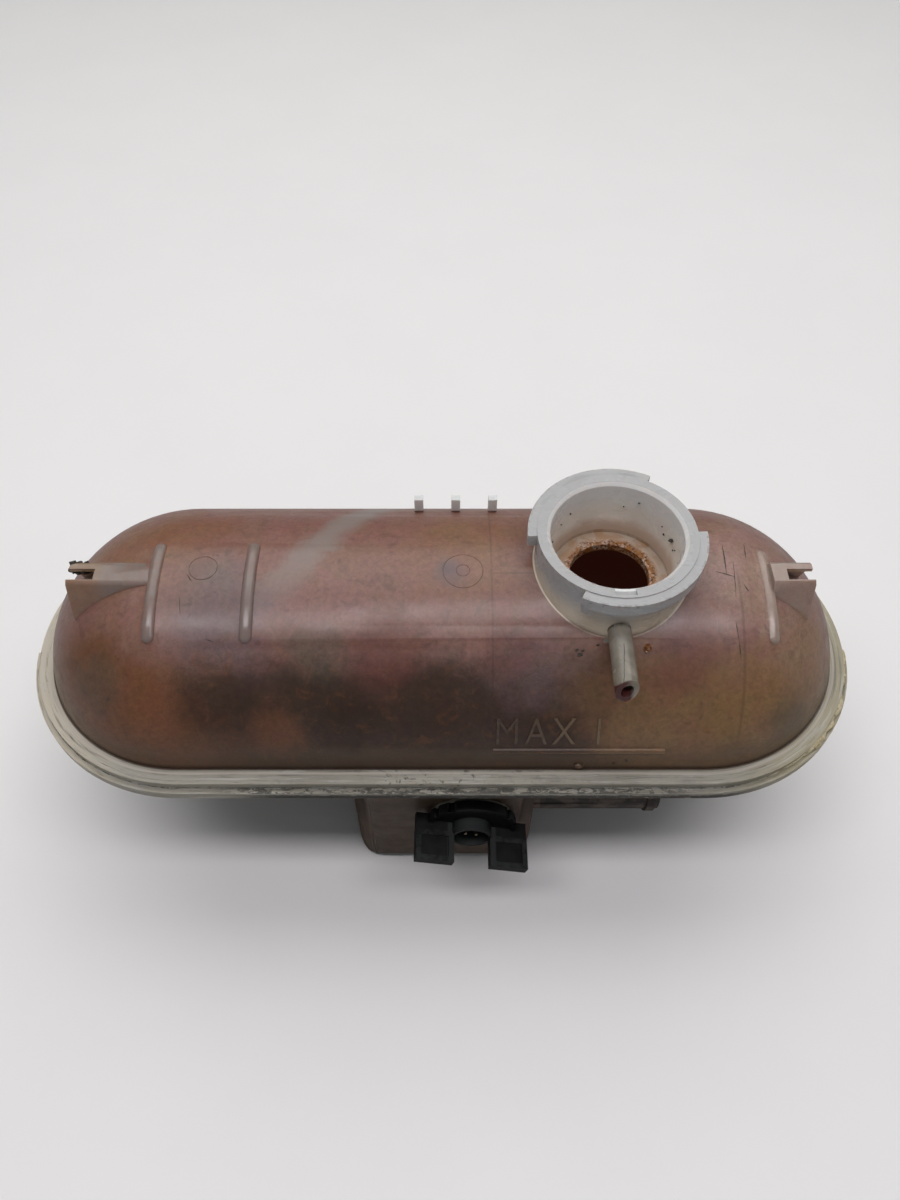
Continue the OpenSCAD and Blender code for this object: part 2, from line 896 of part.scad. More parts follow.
module terminal_left() {
    color([0.8, 0.68, 0.4])
        sensor_frame()
            terminal_blade(-1);
}

module terminal_right() {
    color([0.8, 0.68, 0.4])
        sensor_frame()
            terminal_blade(1);
}

// Resin that seals the switch bore round the two blades
module sensor_resin() {
    color([0.2, 0.19, 0.18])
        sensor_frame()
            difference() {
                translate([0, 0, resin_end])
                    cylinder(r = switch_bore_r - seat_gap, h = resin_depth, $fn = 64);
                terminal_blade(-1);
                terminal_blade(1);
            }
}

module switch_capsule() {
    color([0.7, 0.8, 0.75])
        sensor_frame()
            translate([0, 0, capsule_back])
                cylinder(r = capsule_r, h = capsule_length, $fn = 48);
}

// One straight run of square lead between two corners, in the plane of the blades
module lead_run(from, to) {
    low = [min(from.x, to.x), min(from.y, to.y)];
    high = [max(from.x, to.x), max(from.y, to.y)];
    translate([low.x - lead_t / 2, -lead_t / 2, low.y])
        cube([high.x - low.x + lead_t, lead_t, high.y - low.y]);
}

// Leads: the near one steps over to the left blade, the far one returns to the right blade
module switch_leads() {
    blade_x = terminal_pitch / 2;
    near_z = capsule_front + lead_stub;
    far_z = capsule_back - lead_stub;
    color([0.75, 0.75, 0.76])
        sensor_frame() {
            lead_run([0, capsule_front], [0, near_z + lead_t]);
            lead_run([-blade_x, near_z], [0, near_z + lead_t]);
            lead_run([-blade_x, near_z], [-blade_x, terminal_end]);
            lead_run([0, far_z], [0, capsule_back]);
            lead_run([0, far_z], [blade_x, far_z + lead_t]);
            lead_run([blade_x, far_z], [blade_x, terminal_end]);
        }
}

// Turned float with eased edges, on a tongue that pivots in the fork
module sensor_float() {
    color([0.16, 0.16, 0.15])
        sensor_frame() {
            difference() {
                union() {
                    translate([0, 0, float_front - float_length])
                        rotate_extrude()
                            polygon([[0, 0], [float_r - float_edge, 0], [float_r, float_edge],
                                     [float_r, float_length - float_edge],
                                     [float_r - float_edge, float_length], [0, float_length]]);
                    translate([-tongue_width / 2, -tongue_height / 2, float_front - over])
                        cube([tongue_width, tongue_height, pivot_z - float_front + over]);
                    translate([-tongue_width / 2, 0, pivot_z])
                        rotate([0, 90, 0])
                            cylinder(r = tongue_height / 2, h = tongue_width, $fn = 64);
                    translate([-cheek_inner - cheek_t, 0, pivot_z])
                        rotate([0, 90, 0])
                            cylinder(r = trunnion_r, h = 2 * (cheek_inner + cheek_t), $fn = 48);
                }
                magnet_shape(seat_gap);
            }
        }
}

module magnet_shape(gap) {
    translate([0, 0, float_front - magnet_inset - magnet_length - gap])
        cylinder(r = magnet_r + gap, h = magnet_length + 2 * gap, $fn = 48);
}

module float_magnet() {
    color([0.35, 0.35, 0.37])
        sensor_frame()
            magnet_shape(0);
}

upper_shell();
lower_shell();
sensor_body();
sensor_seal();
sensor_resin();
terminal_left();
terminal_right();
switch_capsule();
switch_leads();
sensor_float();
float_magnet();
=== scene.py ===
"""Dresses the coolant expansion tank: stained mouldings, weld flash, letters, dirt and a worn sensor."""

import math
import random

import bmesh
import bpy
from bpy.props import FloatProperty, FloatVectorProperty, PointerProperty
from bpy.types import Operator, Panel, PropertyGroup
from mathutils import Matrix, Vector, noise


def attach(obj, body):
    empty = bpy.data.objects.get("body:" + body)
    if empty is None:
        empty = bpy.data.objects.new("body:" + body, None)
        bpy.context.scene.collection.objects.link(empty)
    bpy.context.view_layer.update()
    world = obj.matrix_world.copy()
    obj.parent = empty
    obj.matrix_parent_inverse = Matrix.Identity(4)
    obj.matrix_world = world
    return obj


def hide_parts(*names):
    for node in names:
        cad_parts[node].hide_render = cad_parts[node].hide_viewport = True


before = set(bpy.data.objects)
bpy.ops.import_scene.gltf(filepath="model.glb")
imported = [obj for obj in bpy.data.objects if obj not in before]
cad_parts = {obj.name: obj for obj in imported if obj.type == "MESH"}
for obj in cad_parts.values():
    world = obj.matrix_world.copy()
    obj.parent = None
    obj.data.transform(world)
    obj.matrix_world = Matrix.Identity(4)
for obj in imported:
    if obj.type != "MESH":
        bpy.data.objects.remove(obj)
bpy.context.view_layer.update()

bl_info = {
    "name": "Coolant Expansion Tank",
    "version": (1, 0, 0),
    "blender": (4, 5, 0),
    "location": "3D View > Sidebar > Expansion Tank",
    "description": "Finishes a welded coolant expansion tank with its stains, flash and level sensor",
    "category": "Object",
}

MM = 0.001

# Sizes of the tank, in millimetres: the barrel and its flanges
BODY_R = 52.8
AXIS_Z = 70.0
HALF_STRAIGHT = 87.6
WELD_Z = 75.0
FLANGE_TOP_Z = 78.0
FLANGE_FOOT_Z = 71.5
UPPER_FLANGE_R = 57.763
LIP_END_Y = 4.0

# The neck, its bore and the spigot on its front
NECK_X = 56.0
NECK_R = 25.5
NECK_BORE_R = 21.3
NECK_WALL_R = 20.8
SEAT_Z = 116.0
MOUTH_Z = 137.4
SPIGOT_Z = 121.0
SPIGOT_R = 3.75

# The bowl, the sensor and the hose outlet
TRAY_FLOOR_Z = 48.0
TRAY_CORNER_R = 22.0
SENSOR_X = 10.5
SENSOR_Z = 41.0
SENSOR_TURN = math.radians(15)
WING_FRONT_Y = -59.0
OUTLET_FRONT = 31.0
OUTLET_Z = 30.0

# The level letters, and marks and dirt with their places and sizes
LETTERS_LEFT = 18.0
LETTERS_FOOT_Z = WELD_Z + 14.6
GATE_MARKS = ((-77.6, -2.3, 4.6, 0.16), (7.2, -3.3, 6.5, 0.16), (7.2, -3.3, 2.2, 0.14))
NECK_CRUMBS = (
    (18.0, 126.0, 0.75), (30.0, 124.5, 0.35), (34.0, 127.0, 0.3), (12.0, 123.6, 0.3), (8.0, 125.2, 0.25),
    (62.0, 131.0, 0.3), (128.0, 128.0, 0.3), (140.0, 126.0, 0.25), (75.0, 127.5, 0.25), (155.0, 122.5, 0.3),
)
DOME_CRUMBS = (
    (44.2, -29.9, 0.8), (43.2, -28.8, 0.6), (45.1, -29.0, 0.5), (-107.4, -38.4, 0.5), (61.0, -51.3, 0.6),
    (57.0, -51.6, 0.4), (49.8, -27.4, 0.5),
)
EAR_CRUMB_COUNT = 34
TORN_EAR = (-119.0, -0.6, 121.2)
TORN_EAR_SPREAD = ((-2.4, 3.0), (-1.3, 1.3), (-2.2, 0.8))
WALL_SPOT = (45.5, -51.9, 80.3)
DROP_PLACE = (65.6, -27.8)
SCORE_LIFT = 0.06
DOME_SCORES = (
    (((93.7, 8.0), (92.9, -4.6)), 0.55), (((89.5, -3.8), (95.6, -5.4)), 0.5),
    (((96.0, 0.7), (94.9, -13.0)), 0.3), (((94.1, -20.6), (94.8, -26.0), (95.4, -31.0)), 0.4),
    (((98.3, -8.0), (99.6, -10.3)), 0.7), (((101.8, 9.9), (100.9, 3.0)), 0.5),
    (((-74.7, -26.0), (-72.0, -26.6)), 0.5), (((-82.4, -5.0), (-80.6, -7.6)), 0.5),
    (((-84.0, -12.5), (-83.0, -19.0)), 0.25),
)

# Angles of sharp, bevelled and flat edges, and how far apart doubles may lie, in metres
SHARP_NODE, SHARP_DETAIL, SHARP_LETTERS = math.radians(32), math.radians(60), math.radians(40)
BEVEL_FROM = math.radians(40)
FLAT_JOIN = math.radians(0.6)
DOUBLES = 0.00001

# Light inside the tank, and the stage in metres
NO_LIGHT, DAYLIGHT_INSIDE = (0.0, 0.0, 0.0), (0.0110, 0.0026, 0.0016)
SHEET_HALF, BACKDROP_Y = 2.5, 1.6
LAMP_TARGET = (0.0, 0.0, 0.08)


# Sizes and colours that a user would change

class TankPlasticSettings(PropertyGroup):
    edge_radius: FloatProperty(
        name="Edge radius", description="Rounding of the mouldings' edges", default=0.00035, unit="LENGTH")
    dome_colour: FloatVectorProperty(
        name="Dome", description="Plastic stained by coolant", default=(0.205, 0.104, 0.080), size=3,
        subtype="COLOR")
    # Dark deposit seen through the dome's front, darkened further as painted shade where the front turns from
    # the light
    deep_stain_and_shade_colour: FloatVectorProperty(
        name="Deep stain and shade", description="Dark deposit behind the dome's front, with painted shade", default=(0.048, 0.025, 0.016),
        size=3, subtype="COLOR")
    left_colour: FloatVectorProperty(
        name="Left front", description="Rusty stain of the left end", default=(0.140, 0.058, 0.024), size=3,
        subtype="COLOR")
    right_colour: FloatVectorProperty(
        name="Right front", description="Yellow brown stain of the right end", default=(0.200, 0.112, 0.054),
        size=3, subtype="COLOR")
    streak_colour: FloatVectorProperty(
        name="Streak", description="Paler band across the dome", default=(0.235, 0.195, 0.175), size=3,
        subtype="COLOR")
    neck_colour: FloatVectorProperty(
        name="Neck", description="Clean plastic of the neck", default=(0.375, 0.382, 0.382), size=3,
        subtype="COLOR")
    # Yellowed plastic, painted lighter than the rim as painted light through the neck
    neck_foot_yellow_and_lit_colour: FloatVectorProperty(
        name="Neck root", description="Yellowed plastic of the neck's foot, painted lighter", default=(0.640, 0.560, 0.440),
        size=3, subtype="COLOR")
    flange_colour: FloatVectorProperty(
        name="Flange", description="Aged plastic of the flange", default=(0.300, 0.285, 0.235), size=3,
        subtype="COLOR")
    inside_colour: FloatVectorProperty(
        name="Inside", description="Coated inner walls", default=(0.075, 0.012, 0.006), size=3,
        subtype="COLOR")
    stain_colour: FloatVectorProperty(
        name="Seat stain", description="Rusty deposit on the seat", default=(0.260, 0.105, 0.022), size=3,
        subtype="COLOR")
    dirt_colour: FloatVectorProperty(
        name="Dirt", description="Engine dirt", default=(0.016, 0.013, 0.010), size=3, subtype="COLOR")
    sump_colour: FloatVectorProperty(
        name="Sump", description="Brown plastic of the sump", default=(0.088, 0.058, 0.037), size=3,
        subtype="COLOR")
    flash_size: FloatProperty(
        name="Flash", description="Thickness of the weld's flash", default=0.0009, unit="LENGTH")
    letter_height: FloatProperty(
        name="Letter height", description="Height of the level letters", default=0.0105, unit="LENGTH")


class SensorSettings(PropertyGroup):
    edge_radius: FloatProperty(
        name="Edge radius", description="Rounding of the sensor's edges", default=0.00025, unit="LENGTH")
    plastic_colour: FloatVectorProperty(
        name="Housing", description="Black housing", default=(0.0050, 0.0054, 0.0056), size=3,
        subtype="COLOR")
    # Also paints the sheen on the collar's top
    dust_and_sheen_colour: FloatVectorProperty(
        name="Dust", description="Road dust on the housing", default=(0.060, 0.067, 0.065), size=3,
        subtype="COLOR")
    dust_amount: FloatProperty(
        name="Dust amount", description="Share of the dust that lies on it", default=0.10, min=0.0, max=1.0,
        subtype="FACTOR")
    rubber_colour: FloatVectorProperty(
        name="Seal", description="Seal ring", default=(0.012, 0.012, 0.013), size=3, subtype="COLOR")
    resin_colour: FloatVectorProperty(
        name="Resin", description="Cast resin", default=(0.030, 0.022, 0.014), size=3, subtype="COLOR")
    brass_colour: FloatVectorProperty(
        name="Blades", description="Tinned brass blades", default=(0.420, 0.350, 0.230), size=3,
        subtype="COLOR")
    lead_colour: FloatVectorProperty(
        name="Leads", description="Tinned leads", default=(0.620, 0.600, 0.570), size=3, subtype="COLOR")
    foam_colour: FloatVectorProperty(
        name="Float", description="Closed foam float", default=(0.050, 0.042, 0.036), size=3, subtype="COLOR")
    magnet_colour: FloatVectorProperty(
        name="Magnet", description="Sintered magnet", default=(0.180, 0.175, 0.170), size=3, subtype="COLOR")


class StudioSettings(PropertyGroup):
    floor_colour: FloatVectorProperty(
        name="Floor", description="Pale floor and backdrop", default=(0.86, 0.86, 0.85), size=3,
        subtype="COLOR")
    backdrop_colour: FloatVectorProperty(
        name="Backdrop", description="Wall behind the object", default=(0.44, 0.45, 0.445), size=3,
        subtype="COLOR")
    overhead_power: FloatProperty(
        name="Overhead", description="Power of the overhead lamp", default=11.0, min=0.0)
    strip_power: FloatProperty(
        name="Strip", description="Power of the narrow lamp in front", default=7.0, min=0.0)
    world_strength: FloatProperty(
        name="Surround", description="Strength of the pale surround", default=0.16, min=0.0)
    camera_place: FloatVectorProperty(
        name="Camera", description="Place of the camera", default=(0.00298, -0.1954, 0.3654), size=3,
        subtype="TRANSLATION")
    camera_tilt: FloatProperty(
        name="Tilt", description="Angle of the view up from straight down", default=math.radians(36.56),
        subtype="ANGLE")
    camera_lens: FloatProperty(name="Lens", description="Focal length in millimetres", default=28.5)


# Wiring of materials

class Wiring:
    """Adds nodes to one node tree, from left to right, and joins them."""

    def __init__(self, tree):
        self.tree = tree
        self.count = 0

    def add(self, kind, **settings):
        made = self.tree.nodes.new(kind)
        made.location = (self.count * 60, -(self.count % 7) * 180)
        self.count += 1
        for name, value in settings.items():
            setattr(made, name, value)
        return made

    def feed(self, socket, value):
        if isinstance(value, bpy.types.NodeSocket):
            self.tree.links.new(value, socket)
        elif hasattr(value, "__len__") and len(value) == 3 and socket.type == "RGBA":
            socket.default_value = (*value, 1.0)
        else:
            socket.default_value = value

    def maths(self, operation, first, *others):
        """One Math node for each value after the first, or one where there is no other value."""
        for other in others or (0.0,):
            made = self.add("ShaderNodeMath", operation=operation)
            self.feed(made.inputs[0], first)
            self.feed(made.inputs[1], other)
            first = made.outputs[0]
        return first

    def plus(self, *values):
        return self.maths("ADD", *values)

    def minus(self, first, second):
        return self.maths("SUBTRACT", first, second)

    def unsigned(self, value):
        return self.maths("ABSOLUTE", value)

    def swayed(self, value, cloud, reach):
        """A value that a cloud moves up and down over this reach."""
        return self.plus(value, self.both(self.minus(cloud, 0.5), reach))

    def both(self, *values):
        return self.maths("MULTIPLY", *values)

    def either(self, *values):
        return self.maths("MAXIMUM", *values)

    def rest(self, value):
        return self.minus(1.0, value)

    def rise(self, value, low, high):
        """0 below low, 1 above high and smooth between them; the other way round where high is below low."""
        made = self.add("ShaderNodeMapRange", interpolation_type="SMOOTHSTEP")
        falling = high < low
        self.feed(made.inputs["Value"], value)
        made.inputs["From Min"].default_value = min(low, high)
        made.inputs["From Max"].default_value = max(low, high)
        made.inputs["To Min"].default_value = 1.0 if falling else 0.0
        made.inputs["To Max"].default_value = 0.0 if falling else 1.0
        return made.outputs["Result"]

    def within(self, value, low, high, soft):
        """1 between low and high, falling to 0 over soft."""
        return self.both(self.rise(value, low - soft, low), self.rise(value, high + soft, high))

    def blend(self, share, first, second, kind="MIX"):
        made = self.add("ShaderNodeMix", data_type="RGBA", blend_type=kind)
        self.feed(made.inputs["Factor"], share)
        self.feed(made.inputs[6], first)
        self.feed(made.inputs[7], second)
        return made.outputs[2]

    def coats(self, colour, *coats):
        """Lays coats over a colour, each with a mask, a share and a tone."""
        for mask, share, tone in coats:
            colour = self.blend(self.both(mask, share), colour, tone)
        return colour

    def grain(self, place, scale, detail=2.0, roughness=0.5, distortion=0.0):
        made = self.add("ShaderNodeTexNoise")
        self.feed(made.inputs["Vector"], place)
        made.inputs["Scale"].default_value = scale
        made.inputs["Detail"].default_value = detail
        made.inputs["Roughness"].default_value = roughness
        made.inputs["Distortion"].default_value = distortion
        return made.outputs["Fac"]

    def cells(self, place, scale):
        """How far a point is from the middle of its cell."""
        made = self.add("ShaderNodeTexVoronoi", feature="F1")
        self.feed(made.inputs["Vector"], place)
        made.inputs["Scale"].default_value = scale
        return made.outputs["Distance"]

    def split(self, vector):
        made = self.add("ShaderNodeSeparateXYZ")
        self.feed(made.inputs[0], vector)
        return made.outputs

    def length(self, first, second):
        return self.maths("SQRT", self.plus(self.both(first, first), self.both(second, second)))

    def stretched(self, place, scale):
        made = self.add("ShaderNodeVectorMath", operation="MULTIPLY")
        self.feed(made.inputs[0], place)
        made.inputs[1].default_value = scale
        return made.outputs[0]

    def scaled(self, place, factor):
        made = self.add("ShaderNodeVectorMath", operation="SCALE")
        self.feed(made.inputs[0], place)
        self.feed(made.inputs["Scale"], factor)
        return made.outputs[0]

    def place(self):
        """The point on the object in millimetres."""
        return self.scaled(self.add("ShaderNodeTexCoord").outputs["Object"], 1.0 / MM)

    def group(self, name, **values):
        made = self.add("ShaderNodeGroup", node_tree=bpy.data.node_groups[name])
        for key, value in values.items():
            self.feed(made.inputs[key.replace("_", " ").capitalize()], value)
        return made.outputs

    def bump(self, height, strength, distance):
        made = self.add("ShaderNodeBump")
        self.feed(made.inputs["Height"], height)
        made.inputs["Strength"].default_value = strength
        made.inputs["Distance"].default_value = distance
        return made.outputs["Normal"]

    def stain(self, place, centre, radius):
        return self.group("Soft stain", place=place, centre=centre, radius=radius)["Mask"]

    def surface(self, shader, colour, rough, height, strength, distance):
        """Gives the shader its colour, its roughness and its fine relief."""
        self.feed(shader.inputs["Base Color"], colour)
        self.feed(shader.inputs["Roughness"], rough)
        self.feed(shader.inputs["Normal"], self.bump(height, strength, distance))


def new_group(name, output, kind="Float", **inputs):
    """An empty group with a place, more inputs and one output; its wiring, inputs and output."""
    tree = bpy.data.node_groups.new(name, "ShaderNodeTree")
    tree.interface.new_socket(name="Place", in_out="INPUT", socket_type="NodeSocketVector")
    for label, value in inputs.items():
        sort = value if isinstance(value, str) else "Float"
        socket = tree.interface.new_socket(
            name=label.capitalize(), in_out="INPUT", socket_type="NodeSocket" + sort)
        if sort == "Float":
            socket.default_value = value
    tree.interface.new_socket(name=output, in_out="OUTPUT", socket_type="NodeSocket" + kind)
    wire = Wiring(tree)
    return wire, wire.add("NodeGroupInput").outputs, wire.add("NodeGroupOutput").inputs[output]


def make_groups():
    """The effects that several materials share."""
    wire, given, out = new_group("Moulded grain", "Height", fineness=1.0)
    scaled = wire.scaled(given["Place"], given["Fineness"])
    fine, broad = wire.grain(scaled, 2.6, 3.0, 0.6), wire.grain(scaled, 0.11, 2.0)
    wire.feed(out, wire.plus(wire.both(fine, 0.25), wire.both(broad, 1.6)))

    wire, given, out = new_group("Dirt specks", "Mask", amount=0.3, fineness=1.0)
    scaled = wire.scaled(given["Place"], given["Fineness"])
    grit = wire.rise(wire.grain(scaled, 0.85, 5.0, 0.72, 0.5), 0.665, 0.70)
    patchy = wire.rise(wire.grain(given["Place"], 0.05, 2.0), 0.42, 0.60)
    wire.feed(out, wire.maths("MINIMUM", wire.both(grit, patchy, given["Amount"]), 1.0))

    wire, given, out = new_group("Hair scratches", "Mask", amount=0.3)
    mask = 0.0
    for turn in (0.35, 1.9, 2.7):
        turned = wire.add("ShaderNodeVectorRotate", rotation_type="EULER_XYZ")
        wire.feed(turned.inputs["Vector"], given["Place"])
        turned.inputs["Rotation"].default_value = (turn * 0.6, 0.2, turn)
        lines = wire.grain(wire.stretched(turned.outputs[0], (0.035, 1.3, 1.3)), 1.0, 2.0, 0.4)
        mask = wire.either(mask, wire.rise(wire.unsigned(wire.minus(lines, 0.5)), 0.006, 0.0))
    worn = wire.rise(wire.grain(given["Place"], 0.06, 2.0), 0.48, 0.62)
    wire.feed(out, wire.both(mask, worn, given["Amount"]))

    wire, given, out = new_group("Soft stain", "Mask", centre="Vector", radius=10.0)
    apart = wire.add("ShaderNodeVectorMath", operation="DISTANCE")
    wire.feed(apart.inputs[0], given["Place"])
    wire.feed(apart.inputs[1], given["Centre"])
    share = wire.maths("DIVIDE", apart.outputs["Value"], given["Radius"])
    wire.feed(out, wire.rise(wire.swayed(share, wire.grain(given["Place"], 0.07, 4.0, 0.6), 1.3), 1.0, 0.25))

    wire, given, out = new_group("Settled dust", "Mask", facing="Vector", amount=0.5)
    upwards = wire.rise(wire.split(given["Facing"])[2], -0.15, 0.85)
    uneven = wire.rise(wire.grain(given["Place"], 0.22, 3.0, 0.5), 0.25, 0.75)
    wire.feed(out, wire.both(upwards, uneven, given["Amount"]))

    wire, given, out = new_group("Soft cloud", "Mask")
    wire.feed(out, wire.grain(given["Place"], 0.16, 4.0, 0.6, 0.6))

    wire, given, out = new_group("Aged flange", "Colour", "Color", plastic="Color")
    wire.feed(out, aged_flange(wire, given["Place"], given["Plastic"]))


def aged_flange(wire, place, plastic):
    """Colour of the flange: grey green with streaks that run along it, yellower at its right end, and paler
    at its left end as painted light.
    """
    x, y, z = wire.split(place)
    out = wire.length(beyond_straight(wire, x), y)
    along = wire.add("ShaderNodeCombineXYZ")
    wire.feed(along.inputs[0], wire.both(x, 0.035))
    wire.feed(along.inputs[1], wire.both(y, 0.035))
    wire.feed(along.inputs[2], wire.both(wire.plus(out, wire.both(z, 1.3)), 0.85))
    streaks = wire.grain(along.outputs[0], 1.0, 5.0, 0.7)
    thin = wire.rise(wire.grain(along.outputs[0], 2.6, 4.0, 0.7), 0.60, 0.66)
    grey = wire.rise(wire.grain(place, 0.20, 5.0, 0.7, 0.8), 0.52, 0.66)
    smudges = wire.rise(wire.grain(place, 0.28, 5.0, 0.7, 0.8), 0.56, 0.64)
    inner_edge = wire.both(
        wire.within(out, BODY_R + 0.8, BODY_R + 1.3, 0.3),
        wire.rise(z, FLANGE_TOP_Z - 1.0, FLANGE_TOP_Z - 0.2))
    cloud = wire.grain(place, 0.03, 3.0, 0.55, 0.4)
    return wire.coats(
        plastic, (wire.rise(cloud, 0.35, 0.65), 1.0, (0.235, 0.222, 0.180)),
        (wire.rise(x, 90.0, 122.0), 0.85, (0.330, 0.295, 0.190)),
        # Paler left end: painted light that lifts the flange's shaded end
        (wire.rise(x, -100.0, -128.0), 0.80, (0.520, 0.470, 0.370)),
        (wire.rise(streaks, 0.53, 0.62), 0.65, (0.120, 0.114, 0.092)),
        (wire.rise(streaks, 0.46, 0.36), 0.60, (0.460, 0.460, 0.420)),
        (thin, 0.65, (0.060, 0.054, 0.042)),
        (wire.both(grey, wire.within(x, -50.0, 80.0, 20.0)), 0.45, (0.170, 0.166, 0.145)),
        (wire.both(smudges, wire.within(x, -18.0, 16.0, 24.0)), 0.80, (0.040, 0.034, 0.026)),
        (inner_edge, 0.6, (0.480, 0.430, 0.370)))


def new_material(name, **values):
    """A material with one Principled shader that has those plain values, and its wiring."""
    material = bpy.data.materials.new(name)
    material.use_nodes = True
    material.node_tree.nodes.clear()
    wire = Wiring(material.node_tree)
    shader = wire.add("ShaderNodeBsdfPrincipled")
    wire.feed(wire.add("ShaderNodeOutputMaterial").inputs["Surface"], shader.outputs[0])
    for key, value in values.items():
        wire.feed(shader.inputs[key.replace("_", " ")], value)
    return material, wire, shader


def beyond_straight(wire, x):
    """How far a point lies beyond the ends of the straight part."""
    return wire.either(wire.minus(wire.unsigned(x), HALF_STRAIGHT), 0.0)


def body_distance(wire, x, y, z):
    """How far a point is from the barrel's axis, in millimetres."""
    return wire.length(wire.length(beyond_straight(wire, x), y), wire.minus(z, AXIS_Z))


def dome_stains():
    """Stains that show through the dome: centre and radius in millimetres, strength and tone."""
    rust, amber, oxblood = (0.190, 0.076, 0.032), (0.215, 0.118, 0.056), (0.130, 0.044, 0.034)
    plum, tar, moss = (0.135, 0.092, 0.092), (0.036, 0.018, 0.011), (0.085, 0.070, 0.050)
    rose, honey, olive = (0.290, 0.190, 0.150), (0.230, 0.128, 0.050), (0.092, 0.064, 0.028)
    return (
        ((100.0, 0.0, 121.0), 30.0, 0.80, rose),
        ((118.0, -18.0, 107.0), 24.0, 0.60, rose),
        ((-103.0, 8.0, 118.0), 26.0, 0.55, amber),
        ((10.0, 8.0, 122.0), 30.0, 0.50, amber),
        ((64.0, -44.0, 98.0), 22.0, 0.70, amber),
        ((-84.0, 16.0, 120.0), 20.0, 0.50, rust),
        ((-94.0, -40.0, 102.0), 20.0, 0.55, rust),
        ((-54.0, -48.0, 92.0), 14.0, 0.50, rust),
        ((-70.0, -18.0, 119.0), 26.0, 0.80, plum),
        ((30.0, -34.0, 110.0), 19.0, 0.60, plum),
        ((78.0, -31.0, 112.0), 18.0, 0.55, oxblood),
        ((-20.0, -29.0, 114.0), 18.0, 0.70, oxblood),
        ((22.0, -28.0, 114.0), 14.0, 0.45, oxblood),
        ((-40.0, -30.0, 113.0), 15.0, 0.55, moss),
        ((-112.0, -34.0, 101.0), 15.0, 0.45, moss),
        ((-74.0, -41.0, 102.0), 17.0, 0.60, tar),
        ((-31.0, -45.0, 98.0), 16.0, 0.80, tar),
        ((-8.0, -48.0, 92.0), 15.0, 0.30, tar),
        ((102.0, -43.0, 97.0), 24.0, 0.55, honey),
        ((124.0, -20.0, 98.0), 20.0, 0.50, honey),
        ((114.0, -40.0, 90.0), 14.0, 0.70, olive),
        ((96.0, -45.0, 86.0), 10.0, 0.45, olive),
    )


def stained_dome(wire, settings, place, x, y, z):
    """Colour of the dome: dark and rusty in front, partly as painted shade, yellow brown at the right, with
    stains and faint lines.
    """
    cloud = wire.grain(place, 0.022, 3.0, 0.55, 0.4)
    mottle = wire.grain(place, 0.10, 4.0, 0.62, 0.8)
    blotches = wire.grain(place, 0.17, 5.0, 0.72, 1.0)
    sandy = wire.rise(wire.grain(place, 0.55, 5.0, 0.75, 0.6), 0.34, 0.66)
    drips = wire.rise(wire.grain(wire.stretched(place, (0.85, 0.05, 0.05)), 1.0, 4.0, 0.65), 0.30, 0.70)
    shifted = wire.swayed(x, cloud, 60.0)
    front = wire.blend(wire.rise(shifted, -48.0, -88.0), settings.deep_stain_and_shade_colour, settings.left_colour)
    front = wire.blend(wire.rise(shifted, 34.0, 66.0), front, settings.right_colour)
    # Front and lower dome take the deep colour: a dark deposit inside, plus painted shade on faces turned
    # from the overhead light
    sinking = wire.swayed(z, mottle, 14.0)
    depth = wire.both(wire.rise(sinking, 118.0, 108.0), wire.rise(y, -12.0, -26.0))
    colour = wire.blend(depth, settings.dome_colour, front)
    for centre, radius, strength, tone in dome_stains():
        colour = wire.coats(colour, (wire.stain(place, centre, radius), strength, tone))

    # Blotches of rust and lime, and a fine grain over everything
    hue = wire.rise(wire.grain(place, 0.075, 4.0, 0.6, 1.2), 0.36, 0.64)
    colour = wire.blend(0.50, colour, wire.blend(hue, (0.53, 0.46, 0.53), (0.50, 0.53, 0.46)), "OVERLAY")
    colour = wire.coats(
        colour, (wire.rise(blotches, 0.53, 0.68), 0.24, (0.200, 0.075, 0.022)),
        (wire.rise(blotches, 0.47, 0.32), 0.30, (0.036, 0.022, 0.016)))
    fine = wire.plus(wire.both(sandy, 0.82), wire.both(drips, 0.18))
    colour = wire.blend(0.45, colour, wire.blend(fine, (0.32, 0.31, 0.30), (0.69, 0.69, 0.68)), "OVERLAY")
    foot = wire.both(wire.rise(sinking, 91.0, 84.0), wire.rise(y, 0.0, -10.0))
    colour = wire.coats(
        colour, (foot, 0.50, (0.092, 0.056, 0.028)), (wire.rise(z, 80.5, 78.0), 0.85, (0.034, 0.016, 0.006)))

    # A paler streak, and the baffles' edges seen through the dome
    across = wire.minus(wire.both(wire.plus(x, 46.0), 0.832), wire.both(y, 0.5547))
    across = wire.unsigned(wire.swayed(across, mottle, 9.0))
    streak = wire.both(
        wire.rise(across, 8.0, 1.5), wire.within(y, -22.0, 34.0, 12.0), wire.rise(y, -30.0, 14.0))
    line = wire.both(wire.within(x, 16.4, 16.7, 0.35), wire.within(y, -41.0, 30.0, 3.0))
    seam = wire.both(wire.within(x, 96.4, 96.9, 0.45), wire.within(y, -44.0, -6.0, 6.0))
    spine = wire.both(wire.within(y, -4.6, -4.3, 0.3), wire.within(x, 17.0, 34.0, 2.0))
    return wire.coats(
        colour, (streak, 0.85, settings.streak_colour),
        (wire.stain(place, (3.5, -3.0, 122.6), 8.0), 0.65, (0.105, 0.080, 0.100)),
        (wire.either(line, seam, spine), 0.28, (0.040, 0.018, 0.012)))


